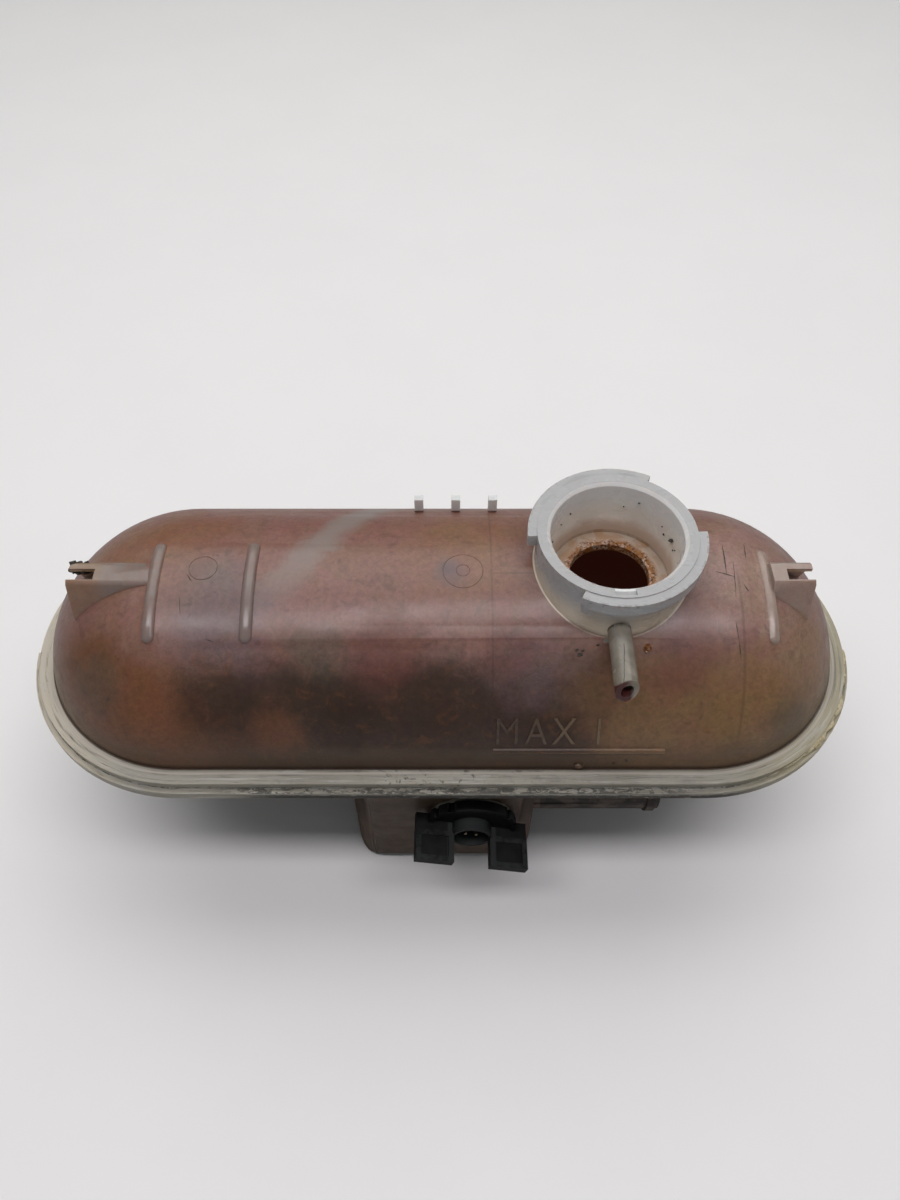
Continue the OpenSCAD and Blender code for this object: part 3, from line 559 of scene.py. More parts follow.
def pale_neck(wire, settings, place, z, ring, mottle):
    """Colour of the neck: milky at the mouth, yellower below, with a rusty ring round the filler hole; its
    lower wall and bore are painted lighter than the rim, as painted light through the milky plastic.
    """
    rising = wire.swayed(z, mottle, 6.0)
    bore = wire.rise(ring, NECK_BORE_R + 1.3, NECK_BORE_R + 0.9)
    # Lower wall and bore are lighter than the rim top: painted light through the milky plastic, over its real
    # yellowing and residue
    pale = wire.blend(wire.rise(rising, 121.0, 132.0), settings.neck_foot_yellow_and_lit_colour, settings.neck_colour)
    inside = wire.blend(wire.rise(rising, 117.5, 124.0), (0.500, 0.380, 0.300), (0.760, 0.720, 0.650))
    inside = wire.blend(wire.rise(rising, 124.0, 134.0), inside, (0.720, 0.725, 0.710))
    root = wire.both(wire.rise(rising, 119.5, 116.0), wire.rest(bore))
    worn = wire.rise(wire.grain(place, 0.5, 4.0, 0.7), 0.50, 0.60)
    edge = wire.both(wire.rise(ring, 27.7, 28.1), wire.within(z, MOUTH_Z - 1.8, MOUTH_Z - 0.5, 0.4), worn)
    floor = wire.rise(z, SEAT_Z + 0.7, SEAT_Z + 0.3)
    rim = wire.rise(wire.swayed(ring, mottle, 6.0), 17.0, 14.8)
    ledge = wire.both(floor, rim)
    rust = wire.rise(wire.grain(place, 0.34, 5.0, 0.7, 1.2), 0.38, 0.54)
    crust = wire.rise(wire.grain(place, 1.1, 4.0, 0.7), 0.53, 0.58)
    seat = wire.blend(wire.rise(mottle, 0.40, 0.62), (0.420, 0.340, 0.270), (0.350, 0.220, 0.130))
    pale = wire.coats(
        pale, (bore, 1.0, inside), (root, 0.8, (0.230, 0.135, 0.085)), (edge, 0.4, (0.080, 0.066, 0.050)),
        (ledge, rust, settings.stain_colour), (ledge, crust, (0.045, 0.010, 0.004)),
        (wire.both(floor, wire.rest(rim)), bore, seat))
    milk = wire.blend(wire.group("Soft cloud", place=place)["Mask"], (0.40, 0.39, 0.37), (0.62, 0.63, 0.64))
    return wire.blend(0.25, pale, milk, "OVERLAY")


def cracked_spigot(wire, x, y, z, mottle):
    """Colour of the spigot: grey, with a crack along it and a dark residue at its broken tip."""
    tube = wire.blend(wire.rise(mottle, 0.35, 0.65), (0.250, 0.230, 0.188), (0.188, 0.171, 0.134))
    wander = wire.plus(wire.both(wire.plus(y, 42.0), 0.13), wire.both(mottle, 1.4))
    apart = wire.unsigned(wire.minus(wire.minus(x, 54.4), wander))
    crack = wire.both(wire.rise(apart, 0.20, 0.07), wire.within(y, -50.0, -34.0, 1.0))
    soaked = wire.both(wire.rise(wire.swayed(y, mottle, 7.0), -45.6, -47.0), wire.rise(x, 58.6, 57.0))
    ring = wire.both(wire.rise(y, -26.9, -26.4), wire.rise(mottle, 0.44, 0.52))
    return wire.coats(
        tube, (wire.both(crack, wire.rise(z, SPIGOT_Z, SPIGOT_Z + 1.0)), 0.85, (0.024, 0.016, 0.010)),
        (soaked, 0.95, (0.050, 0.006, 0.006)), (ring, 0.6, (0.060, 0.048, 0.034)))


def upper_plastic(settings):
    """Coolant has stained the dome, the neck stayed pale and the flange has aged."""
    material, wire, shader = new_material(
        "stained_tank_plastic", IOR=1.49, Specular_IOR_Level=0.45, Coat_Roughness=0.26, Coat_IOR=1.45,
        Subsurface_Weight=0.25, Subsurface_Scale=0.004, Subsurface_Radius=(1.0, 0.6, 0.4),
        Emission_Strength=1.0)
    place = wire.place()
    x, y, z = wire.split(place)
    away = body_distance(wire, x, y, z)
    aside = wire.unsigned(x)
    ring = wire.length(wire.minus(x, NECK_X), y)
    mottle = wire.grain(place, 0.12, 4.0, 0.6, 0.8)
    colour = stained_dome(wire, settings, place, x, y, z)

    # Beads, ears and fingers hold no coolant, so they stay pale; the fingers are painted paler still, as
    # painted light through their thin plastic
    proud = wire.both(wire.rise(away, BODY_R + 0.15, BODY_R + 0.55), wire.rise(z, 97.0, 100.0))
    ear = wire.rise(aside, 108.0, 114.0)
    clear = wire.blend(ear, (0.215, 0.175, 0.155), (0.250, 0.180, 0.118))
    clear = wire.blend(wire.rise(x, 84.0, 90.0), clear, (0.330, 0.265, 0.220))
    uneven = wire.rise(wire.group("Soft cloud", place=place)["Mask"], 0.35, 0.65)
    rib = wire.both(proud, wire.plus(wire.both(uneven, 0.30), 0.62))
    wall = wire.both(ear, wire.rise(y, -7.0, -7.4), 0.35)
    outside = wire.rise(away, BODY_R + 0.3, BODY_R + 0.8)
    # Fingers: near white, painted light that lifts their shaded faces
    finger_with_painted_light = wire.both(outside, wire.rise(y, 26.0, 27.0))
    socket = wire.both(wire.rise(aside, 112.0, 112.6), wire.within(y, -7.3, -0.6, 0.2))
    colour = wire.coats(
        colour, (rib, wire.rest(wall), clear), (finger_with_painted_light, wire.rise(z, 92.0, 94.0), (0.600, 0.630, 0.620)),
        (socket, wire.within(z, 113.0, 121.4, 0.4), (0.520, 0.350, 0.190)))

    pipe = wire.both(wire.within(x, NECK_X - SPIGOT_R - 0.55, NECK_X + SPIGOT_R + 0.55, 0.2),
                     wire.rise(y, -NECK_R - 0.05, -NECK_R - 0.45))
    neck = wire.either(
        wire.rise(ring, NECK_R + 0.6, NECK_R + 0.3), wire.rise(z, SPIGOT_Z + 3.8, SPIGOT_Z + 4.2))
    neck = wire.both(neck, wire.rise(z, SEAT_Z - 3.2, SEAT_Z - 2.6))
    flange = wire.both(wire.rise(z, FLANGE_TOP_Z + 0.5, FLANGE_TOP_Z + 0.2), outside)
    inner = wire.both(wire.rise(away, BODY_R - 1.2, BODY_R - 1.8), wire.rise(z, SEAT_Z - 2.6, SEAT_Z - 3.2))
    specks = wire.group("Dirt specks", place=place, amount=0.8, fineness=1.6)["Mask"]
    specks = wire.both(specks, wire.rest(inner))
    scratches = wire.group("Hair scratches", place=place, amount=0.5)["Mask"]
    colour = wire.coats(
        colour, (neck, 1.0, pale_neck(wire, settings, place, z, ring, mottle)),
        (pipe, wire.within(z, SPIGOT_Z - 5.4, SPIGOT_Z + 4.2, 0.4), cracked_spigot(wire, x, y, z, mottle)),
        (flange, 1.0, wire.group("Aged flange", place=place, plastic=settings.flange_colour)["Colour"]),
        (inner, 1.0, settings.inside_colour), (specks, 1.0, settings.dirt_colour),
        (scratches, 0.25, (0.42, 0.36, 0.32)))
    # Daylight that comes through the stained walls
    wire.feed(shader.inputs["Emission Color"], wire.blend(inner, NO_LIGHT, DAYLIGHT_INSIDE))

    smear = wire.grain(wire.stretched(place, (0.05, 0.18, 0.18)), 1.0, 3.0, 0.6)
    damp = wire.both(wire.rise(mottle, 0.42, 0.62), 0.06)
    rough = wire.plus(wire.both(smear, 0.40), 0.16, damp, wire.both(specks, 0.3))
    rough = wire.both(rough, wire.rest(wire.both(proud, 0.45)))
    # Two dull places break up the dome's long highlight
    dull = wire.either(
        wire.stain(place, (-20.0, -33.0, 111.0), 21.0), wire.stain(place, (38.0, -36.0, 107.0), 17.0))
    wire.feed(shader.inputs["Coat Weight"], wire.both(wire.rest(wire.both(dull, 0.85)), 0.35))
    rough = wire.plus(rough, wire.both(dull, 0.10), wire.both(neck, 0.06))
    grain = wire.group("Moulded grain", place=place, fineness=1.0)["Height"]
    height = wire.minus(wire.plus(grain, wire.both(specks, 1.5)), wire.both(scratches, 1.2))
    wire.surface(shader, colour, rough, height, 0.22, 0.0004)
    return material


def lower_plastic(settings):
    """A pale flange with dirt along its lower edge, over a brown bowl and sump."""
    material, wire, shader = new_material(
        "aged_tank_plastic", IOR=1.49, Specular_IOR_Level=0.40, Subsurface_Weight=0.2, Subsurface_Scale=0.003,
        Subsurface_Radius=(1.0, 0.7, 0.5), Emission_Strength=1.0)
    place = wire.place()
    x, y, z = wire.split(place)
    mottle = wire.grain(place, 0.12, 4.0, 0.6, 0.8)
    plan = wire.length(beyond_straight(wire, x), y)
    flange = wire.both(
        wire.rise(z, FLANGE_FOOT_Z - 0.3, FLANGE_FOOT_Z - 0.1), wire.rise(plan, BODY_R, BODY_R + 0.4))
    aged = wire.group("Aged flange", place=place, plastic=settings.flange_colour)["Colour"]
    lumps = wire.grain(wire.stretched(place, (0.5, 1.0, 1.2)), 0.55, 5.0, 0.72, 0.6)
    low = wire.rise(wire.plus(z, wire.both(lumps, 4.0)), 76.2, 75.2)
    grime = wire.both(low, wire.within(x, -52.0, 92.0, 22.0), wire.rise(lumps, 0.34, 0.42))
    step = wire.both(
        wire.rise(z, WELD_Z - 0.25, WELD_Z - 0.05), wire.rise(lumps, 0.47, 0.53),
        wire.within(x, -60.0, 70.0, 20.0))
    aged = wire.coats(aged, (wire.either(grime, wire.both(step, 0.8)), 0.95, (0.016, 0.015, 0.012)))

    bowl = wire.blend(wire.rise(mottle, 0.4, 0.65), settings.sump_colour, (0.066, 0.042, 0.026))
    off_pipe = wire.length(wire.plus(y, OUTLET_FRONT), wire.minus(z, OUTLET_Z))
    blotch = wire.rise(wire.grain(place, 0.14, 3.0, 0.6), 0.42, 0.58)
    from_port = wire.length(wire.minus(x, SENSOR_X), wire.minus(z, SENSOR_Z))
    bowl = wire.coats(
        bowl, (wire.rise(x, 18.0, 30.0), 0.8, (0.115, 0.078, 0.062)),
        (wire.rise(x, 36.5, 37.5), wire.rise(off_pipe, 15.5, 14.5),
         wire.blend(blotch, (0.080, 0.060, 0.044), (0.026, 0.018, 0.013))),
        (wire.rise(from_port, 15.6, 15.0), wire.rise(y, -46.0, -47.0), (0.330, 0.310, 0.250)))
    corner = wire.length(wire.either(wire.minus(plan, BODY_R - TRAY_CORNER_R), 0.0),
                         wire.either(wire.minus(TRAY_FLOOR_Z + TRAY_CORNER_R, z), 0.0))
    inner = wire.both(
        wire.rise(corner, TRAY_CORNER_R - 1.1, TRAY_CORNER_R - 1.6), wire.rise(z, WELD_Z + 0.3, WELD_Z - 0.3))
    wire.feed(shader.inputs["Emission Color"], wire.blend(inner, NO_LIGHT, DAYLIGHT_INSIDE))
    specks = wire.group("Dirt specks", place=place, amount=0.85, fineness=2.2)["Mask"]
    scratches = wire.group("Hair scratches", place=place, amount=0.5)["Mask"]
    colour = wire.coats(
        bowl, (flange, 1.0, aged), (inner, 1.0, settings.inside_colour), (specks, 1.0, settings.dirt_colour),
        (scratches, 0.3, (0.42, 0.38, 0.32)))
    smear = wire.grain(wire.stretched(place, (0.06, 0.2, 0.2)), 1.0, 3.0, 0.6)
    rough = wire.plus(wire.both(smear, 0.34), 0.26, wire.both(specks, 0.3))
    grain = wire.group("Moulded grain", place=place, fineness=1.2)["Height"]
    wire.surface(shader, colour, rough, wire.plus(grain, wire.both(specks, 1.5)), 0.3, 0.0004)
    return material


def letter_plastic():
    """Raised letters, rubbed a little paler than the dome."""
    material, wire, shader = new_material("rubbed_letters", IOR=1.49, Coat_Weight=0.35, Coat_Roughness=0.15)
    place = wire.place()
    cloud = wire.group("Soft cloud", place=place)["Mask"]
    fine = wire.rise(wire.grain(place, 0.6, 4.0, 0.7), 0.35, 0.65)
    right = wire.rise(wire.split(place)[0], 24.0, 48.0)
    colour = wire.coats(
        wire.blend(right, (0.060, 0.038, 0.028), (0.160, 0.108, 0.064)), (fine, 0.25, (0.190, 0.140, 0.092)))
    wire.surface(shader, colour, wire.plus(wire.both(cloud, 0.3), 0.15), fine, 0.2, 0.0002)
    return material


def flash_plastic():
    """Squeezed plastic of the weld: grey and dirty in front, rough and yellowish at the right end."""
    material, wire, shader = new_material(
        "weld_flash_plastic", IOR=1.49, Subsurface_Weight=0.2, Subsurface_Scale=0.002,
        Subsurface_Radius=(1.0, 0.8, 0.5))
    place = wire.place()
    mottle = wire.grain(place, 0.5, 4.0, 0.65, 0.6)
    colour = wire.blend(wire.rise(mottle, 0.40, 0.60), (0.400, 0.390, 0.340), (0.090, 0.082, 0.064))
    yellow = wire.blend(wire.rise(mottle, 0.45, 0.65), (0.600, 0.530, 0.350), (0.300, 0.240, 0.120))
    colour = wire.blend(wire.rise(wire.split(place)[0], 96.0, 118.0), colour, yellow)
    height = wire.grain(place, 1.6, 4.0, 0.7)
    wire.surface(shader, colour, wire.plus(wire.both(mottle, 0.4), 0.35), height, 0.6, 0.0004)
    return material


def caked_dirt():
    """Oily engine dirt with lighter grit in it."""
    material, wire, shader = new_material("caked_dirt", IOR=1.5)
    place = wire.place()
    lumps = wire.grain(place, 1.1, 5.0, 0.7)
    grit = wire.rise(wire.cells(place, 1.9), 0.16, 0.05)
    colour = wire.blend(wire.rise(lumps, 0.35, 0.7), (0.020, 0.016, 0.012), (0.075, 0.060, 0.042))
    colour = wire.coats(colour, (grit, 0.6, (0.230, 0.190, 0.130)))
    wire.surface(shader, colour, wire.plus(wire.both(lumps, 0.4), 0.5), lumps, 0.8, 0.0006)
    return material


def sensor_plastic(settings):
    """Black glass-filled nylon with road dust, a painted sheen on the collar's top, and rubbed grips whose
    lighter edges carry a painted highlight.
    """
    material, wire, shader = new_material("worn_black_nylon", IOR=1.5, Specular_IOR_Level=0.18)
    place = wire.place()
    facing = wire.add("ShaderNodeNewGeometry").outputs["Normal"]
    dust = wire.group("Settled dust", place=place, facing=facing, amount=settings.dust_amount)["Mask"]
    scratches = wire.group("Hair scratches", place=place, amount=0.4)["Mask"]
    specks = wire.group("Dirt specks", place=place, amount=0.25, fineness=2.6)["Mask"]
    x, y, z = wire.split(place)
    beside, above = wire.minus(x, SENSOR_X), wire.minus(z, SENSOR_Z)
    from_axis = wire.length(beside, above)
    upwards = wire.rise(wire.split(facing)[2], 0.35, 0.9)
    # Collar's top: dust colour laid on as a painted sheen, standing in for its soft highlight
    collar_dust_and_sheen = wire.both(wire.rise(from_axis, 9.5, 8.6), upwards, wire.rise(y, -55.0, -57.0))
    dust = wire.either(dust, wire.both(collar_dust_and_sheen, 0.35))
    # Lighter lines along the edges of the grips' recesses: rubbed wear, with a painted highlight on those
    # edges
    side_on = wire.plus(wire.both(beside, math.sin(SENSOR_TURN)), wire.both(above, math.cos(SENSOR_TURN)))
    grips = wire.both(wire.rise(y, WING_FRONT_Y + 0.3, WING_FRONT_Y), wire.rise(from_axis, 6.6, 7.2))
    rim = wire.both(grips, wire.rise(wire.unsigned(side_on), 1.30, 1.62))
    rubbed = wire.rise(wire.grain(place, 0.45, 4.0, 0.65), 0.36, 0.62)
    colour = wire.coats(
        wire.blend(dust, settings.plastic_colour, settings.dust_and_sheen_colour), (rim, rubbed, (0.022, 0.024, 0.024)),
        (scratches, 0.3, (0.040, 0.042, 0.040)), (specks, 0.6, (0.070, 0.060, 0.045)))
    smear = wire.grain(place, 0.12, 3.0, 0.6)
    rough = wire.plus(wire.both(smear, 0.16), 0.36, wire.both(wire.either(dust, specks), 0.3))
    fine = wire.group("Moulded grain", place=place, fineness=2.2)["Height"]
    wire.surface(shader, colour, rough, wire.plus(fine, wire.both(specks, 1.2)), 0.10, 0.0001)
    return material


def mottled(name, colour, other, scale, rough, depth, **values):
    """A plain material whose colour, roughness and surface vary with one grain."""
    material, wire, shader = new_material(name, **values)
    grain = wire.grain(wire.place(), scale, 4.0, 0.6)
    varied = wire.blend(wire.rise(grain, 0.35, 0.68), colour, other)
    wire.surface(shader, varied, wire.plus(wire.both(grain, 0.25), rough), grain, 0.35, depth)
    return material


def foam(settings):
    """Closed-cell foam: skin with small open cells."""
    material, wire, shader = new_material("float_foam", IOR=1.45)
    place = wire.place()
    cells = wire.cells(place, 1.5)
    stain = wire.grain(place, 0.18, 3.0, 0.6)
    colour = wire.blend(wire.rise(stain, 0.4, 0.65), settings.foam_colour, (0.090, 0.055, 0.035))
    colour = wire.blend(wire.rise(cells, 0.22, 0.06), colour, (0.015, 0.012, 0.010))
    skin = wire.rise(cells, 0.05, 0.3)
    wire.surface(shader, colour, wire.plus(wire.both(stain, 0.2), 0.6), skin, 0.5, 0.0003)
    return material


# Meshes

def new_piece(bm, name, material):
    """Turns a bmesh into an object of the scene."""
    mesh = bpy.data.meshes.new(name)
    bm.to_mesh(mesh)
    bm.free()
    mesh.materials.append(material)
    piece = bpy.data.objects.new(name, mesh)
    bpy.context.scene.collection.objects.link(piece)
    return piece


def finish_piece(bm, name, material, sharp=SHARP_DETAIL, body="root"):
    """Turns a bmesh into a smooth piece that rides on a body."""
    piece = new_piece(bm, name, material)
    piece.data.shade_smooth()
    piece.data.set_sharp_from_angle(angle=sharp)
    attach(piece, body)
    return piece


def dressed_copy(node, name, body, material, radius):
    """A merged copy of a CAD node with rounded edges, which replaces it."""
    bm = bmesh.new()
    bm.from_mesh(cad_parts[node].data)
    bmesh.ops.remove_doubles(bm, verts=bm.verts, dist=DOUBLES)
    bmesh.ops.dissolve_limit(bm, angle_limit=FLAT_JOIN, verts=bm.verts, edges=bm.edges)
    piece = finish_piece(bm, name, material, SHARP_NODE, body)
    rounding = piece.modifiers.new("rounded_edges", "BEVEL")
    rounding.width = radius
    rounding.segments = 2
    rounding.limit_method = "ANGLE"
    rounding.angle_limit = BEVEL_FROM
    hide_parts(node)


def repaint(node, material):
    """Gives a CAD node a finished material."""
    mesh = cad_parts[node].data
    mesh.materials.clear()
    mesh.materials.append(material)


def dome_height(x, y, lift=0.0):
    """Height of the dome over a plan point, in millimetres."""
    beyond = max(abs(x) - HALF_STRAIGHT, 0.0)
    return AXIS_Z + math.sqrt(max((BODY_R + lift) ** 2 - beyond ** 2 - y ** 2, 0.0))


def stadium_point(share, radius):
    """A point on the tank's outline in plan, and its outward direction, at a share of the way round."""
    straight = 2 * HALF_STRAIGHT
    arc = math.pi * radius
    along = (share % 1.0) * 2 * (straight + arc)
    if along < straight:
        return Vector((-HALF_STRAIGHT + along, -radius)), Vector((0.0, -1.0))
    along -= straight
    if along < arc:
        turn = along / radius - math.pi / 2
        out = Vector((math.cos(turn), math.sin(turn)))
        return Vector((HALF_STRAIGHT, 0.0)) + radius * out, out
    along -= arc
    if along < straight:
        return Vector((HALF_STRAIGHT - along, radius)), Vector((0.0, 1.0))
    turn = (along - straight) / radius + math.pi / 2
    out = Vector((math.cos(turn), math.sin(turn)))
    return Vector((-HALF_STRAIGHT, 0.0)) + radius * out, out


def weld_flash(size, steps=900, sides=8):
    """A squeezed bead round the seam, swept from a small ring, roughened, and torn at the right end."""
    bm = bmesh.new()
    rings = []
    for step in range(steps):
        spot, out = stadium_point(step / steps, UPPER_FLANGE_R)
        centre = Vector((spot.x, spot.y, WELD_Z + 0.15)) * MM
        side = Vector((out.x, out.y, 0.0))
        swell = 0.14 + 0.22 * noise.noise(centre * 60.0) + 0.10 * noise.noise(centre * 200.0)
        torn = min(max(out.x - 0.35, 0.0) / 0.4, 1.0) * (spot.y < 32.0)
        swell += torn * (1.15 + 1.3 * noise.noise(centre * 160.0) + 0.9 * noise.noise(centre * 700.0))
        radius = size * min(max(swell, 0.12), 1.9)
        centre.z += torn * size * 0.9
        reach = size * 0.35 * noise.noise(centre * 260.0 + Vector((3.0, 0.0, 0.0)))
        if spot.y > -LIP_END_Y:
            reach = min(reach + torn * size * 0.5, -radius + torn * size)
        turn = Matrix((
            (side.x, 0.0, side.y, centre.x + side.x * reach),
            (side.y, 0.0, -side.x, centre.y + side.y * reach),
            (0.0, 1.0, 0.0, centre.z), (0.0, 0.0, 0.0, 1.0)))
        made = bmesh.ops.create_circle(bm, cap_ends=False, segments=sides, radius=radius, matrix=turn)
        bm.edges.ensure_lookup_table()
        rings.append([edge for vert in made["verts"] for edge in vert.link_edges])
    for first, second in zip(rings, rings[1:] + rings[:1]):
        bmesh.ops.bridge_loops(bm, edges=list(set(first + second)))
    bmesh.ops.recalc_face_normals(bm, faces=bm.faces)
    return bm


def level_letters(word, height, width=33.4, proud=0.34, depth=0.6, bands=12):
    """Raised letters that follow the dome above the level bar, cut into bands so that they bend."""
    curve = bpy.data.curves.new("letters", "FONT")
    curve.body = word
    curve.size = height * 1.40
    curve.space_character = 1.25
    curve.offset = -0.00012
    holder = bpy.data.objects.new("letters", curve)
    bpy.context.scene.collection.objects.link(holder)
    bpy.context.view_layer.update()
    mesh = bpy.data.meshes.new_from_object(holder.evaluated_get(bpy.context.evaluated_depsgraph_get()))
    bpy.data.objects.remove(holder)
    bm = bmesh.new()
    bm.from_mesh(mesh)
    bmesh.ops.remove_doubles(bm, verts=bm.verts, dist=DOUBLES)
    low = min(vert.co.y for vert in bm.verts)
    high = max(vert.co.y for vert in bm.verts)
    for cut in range(1, bands):
        where = (0.0, low + (high - low) * cut / bands, 0.0)
        bmesh.ops.bisect_plane(
            bm, geom=bm.verts[:] + bm.edges[:] + bm.faces[:], plane_co=where, plane_no=(0.0, 1.0, 0.0))
    made = bmesh.ops.extrude_face_region(bm, geom=bm.faces[:])
    top = {item for item in made["geom"] if isinstance(item, bmesh.types.BMVert)}
    left = min(vert.co.x for vert in bm.verts)
    stretch = width * MM / (max(vert.co.x for vert in bm.verts) - left)
    low = min(vert.co.y for vert in bm.verts)
    start = math.asin((LETTERS_FOOT_Z - AXIS_Z) / BODY_R)
    for vert in bm.verts:
        radius = BODY_R + (proud if vert in top else -depth)
        turn = start + (vert.co.y - low) / MM / BODY_R
        along = LETTERS_LEFT * MM + (vert.co.x - left) * stretch
        vert.co = Vector((along, -radius * math.cos(turn) * MM, (AXIS_Z + radius * math.sin(turn)) * MM))
    bmesh.ops.recalc_face_normals(bm, faces=bm.faces)
    return bm


def gate_mark(bm, x, y, radius, thickness):
    """A thin ring on the dome, where a moulding pin has left its edge."""
    aside = Matrix.Translation((radius * MM, 0.0, 0.0)) @ Matrix.Rotation(math.pi / 2, 4, "X")
    made = bmesh.ops.create_circle(bm, cap_ends=False, segments=10, radius=thickness * MM, matrix=aside)
    start = set(bm.verts) - set(made["verts"])
    edges = list({edge for vert in made["verts"] for edge in vert.link_edges})
    bmesh.ops.spin(
        bm, geom=made["verts"] + edges, cent=(0.0, 0.0, 0.0), axis=(0.0, 0.0, 1.0), dvec=(0.0, 0.0, 0.0),
        angle=2 * math.pi, steps=48, use_merge=True)
    for vert in set(bm.verts) - start:
        spot = vert.co / MM
        vert.co = Vector((x + spot.x, y + spot.y, dome_height(x + spot.x, y + spot.y) + spot.z)) * MM


def crumb(bm, centre, size, draw, flat=0.6):
    """One lump of dirt."""
    made = bmesh.ops.create_icosphere(bm, subdivisions=2, radius=size * MM, matrix=Matrix.Identity(4))
    seed = Vector((draw.uniform(0, 50), draw.uniform(0, 50), draw.uniform(0, 50)))
    turn = Matrix.Rotation(draw.uniform(0, math.pi), 3, "Z")
    for vert in made["verts"]:
        swell = 1.0 + 0.7 * noise.noise(vert.co / (size * MM) * 1.3 + seed)
        spot = turn @ Vector((vert.co.x * 1.2, vert.co.y * 0.85, vert.co.z * flat))
        vert.co = Vector(centre) * MM + spot * swell


def score(bm, path, width):
    """A thin dark scratch that follows the dome between plan points in millimetres."""
    for (x0, y0), (x1, y1) in zip(path, path[1:]):
        length = math.hypot(x1 - x0, y1 - y0)
        strip = Matrix.Diagonal((length / 2, width / 2, 1.0, 1.0))
        made = bmesh.ops.create_grid(bm, x_segments=8, y_segments=2, size=1.0, matrix=strip)
        turn = math.atan2(y1 - y0, x1 - x0)
        for vert in made["verts"]:
            taper = 1.0 - (2.0 * abs(vert.co.x) / length) ** 2
            side = vert.co.y * max(taper, 0.15)
            spot = Matrix.Rotation(turn, 2) @ Vector((vert.co.x, side))
            x, y = spot.x + (x0 + x1) / 2, spot.y + (y0 + y1) / 2
            lift = SCORE_LIFT if abs(side) < width * 0.1 else -SCORE_LIFT
            vert.co = Vector((x, y, dome_height(x, y, lift))) * MM


# One operator for each piece or group of like pieces

class TANK_OT_upper_moulding(Operator):
    """Dress the dome, flange, ears, neck and spigot"""
    bl_idname = "tank.upper_moulding"
    bl_label = "Upper moulding"

    def execute(self, context):
        settings = context.scene.tank_plastic
        dressed_copy(
            "upper_shell", "upper_moulding", "root", upper_plastic(settings),
            settings.edge_radius)
        return {"FINISHED"}


class TANK_OT_lower_moulding(Operator):
    """Dress the lower flange, bowl, sump and hose outlet"""
    bl_idname = "tank.lower_moulding"
    bl_label = "Lower moulding"

    def execute(self, context):
        settings = context.scene.tank_plastic
        dressed_copy(
            "lower_shell", "lower_moulding", "root", lower_plastic(settings),
            settings.edge_radius)
        return {"FINISHED"}


class TANK_OT_weld(Operator):
    """Lay the squeezed flash round the weld"""
    bl_idname = "tank.weld"
    bl_label = "Weld flash"

    def execute(self, context):
        settings = context.scene.tank_plastic
        finish_piece(weld_flash(settings.flash_size), "weld_flash", flash_plastic())
        return {"FINISHED"}


class TANK_OT_markings(Operator):
    """Raise the level letters and the moulding marks on the dome"""
    bl_idname = "tank.markings"
    bl_label = "Level letters and moulding marks"

    def execute(self, context):
        letters = level_letters("MAX I", context.scene.tank_plastic.letter_height)
        finish_piece(letters, "level_letters", letter_plastic(), SHARP_LETTERS)
        bm = bmesh.new()
        for mark in GATE_MARKS:
            gate_mark(bm, *mark)
        crumb(bm, WALL_SPOT, 1.2, random.Random(7))
        finish_piece(bm, "moulding_marks", bpy.data.materials["stained_tank_plastic"])
        return {"FINISHED"}


class TANK_OT_dirt(Operator):
    """Cake dirt on the broken ear, in the neck and on the dome, and score the dome's right end"""
    bl_idname = "tank.dirt"
    bl_label = "Dirt, drops and scores"

    def execute(self, context):
        draw = random.Random(41)
        dirt = caked_dirt()
        bm = bmesh.new()
        for _ in range(EAR_CRUMB_COUNT):
            spot = [middle + draw.uniform(*spread) for middle, spread in zip(TORN_EAR, TORN_EAR_SPREAD)]
            crumb(bm, spot, draw.uniform(0.5, 1.25), draw)
        finish_piece(bm, "ear_dirt", dirt)

        bm = bmesh.new()
        for degrees, height, size in NECK_CRUMBS:
            turn = math.radians(degrees)
            spot = (NECK_X + NECK_WALL_R * math.cos(turn), NECK_WALL_R * math.sin(turn), height)
            crumb(bm, spot, size, draw)
        for x, y, size in DOME_CRUMBS:
            crumb(bm, (x, y, dome_height(x, y)), size, draw, flat=0.3)
        for path, width in DOME_SCORES:
            score(bm, path, width)
        finish_piece(bm, "dome_dirt", dirt)

        bm = bmesh.new()
        crumb(bm, (*DROP_PLACE, dome_height(*DROP_PLACE)), 1.5, draw, flat=0.25)
        dried = mottled("dried_coolant", (0.210, 0.085, 0.022), (0.120, 0.040, 0.010), 0.9, 0.12, 0.0001)
        finish_piece(bm, "dried_drop", dried)
        return {"FINISHED"}


class TANK_OT_sensor_housing(Operator):
    """Dress the sensor's black housing"""
    bl_idname = "tank.sensor_housing"
    bl_label = "Sensor housing"

    def execute(self, context):
        settings = context.scene.tank_sensor
        dressed_copy(
            "sensor_body", "sensor_housing", "sensor", sensor_plastic(settings),
            settings.edge_radius)
        return {"FINISHED"}


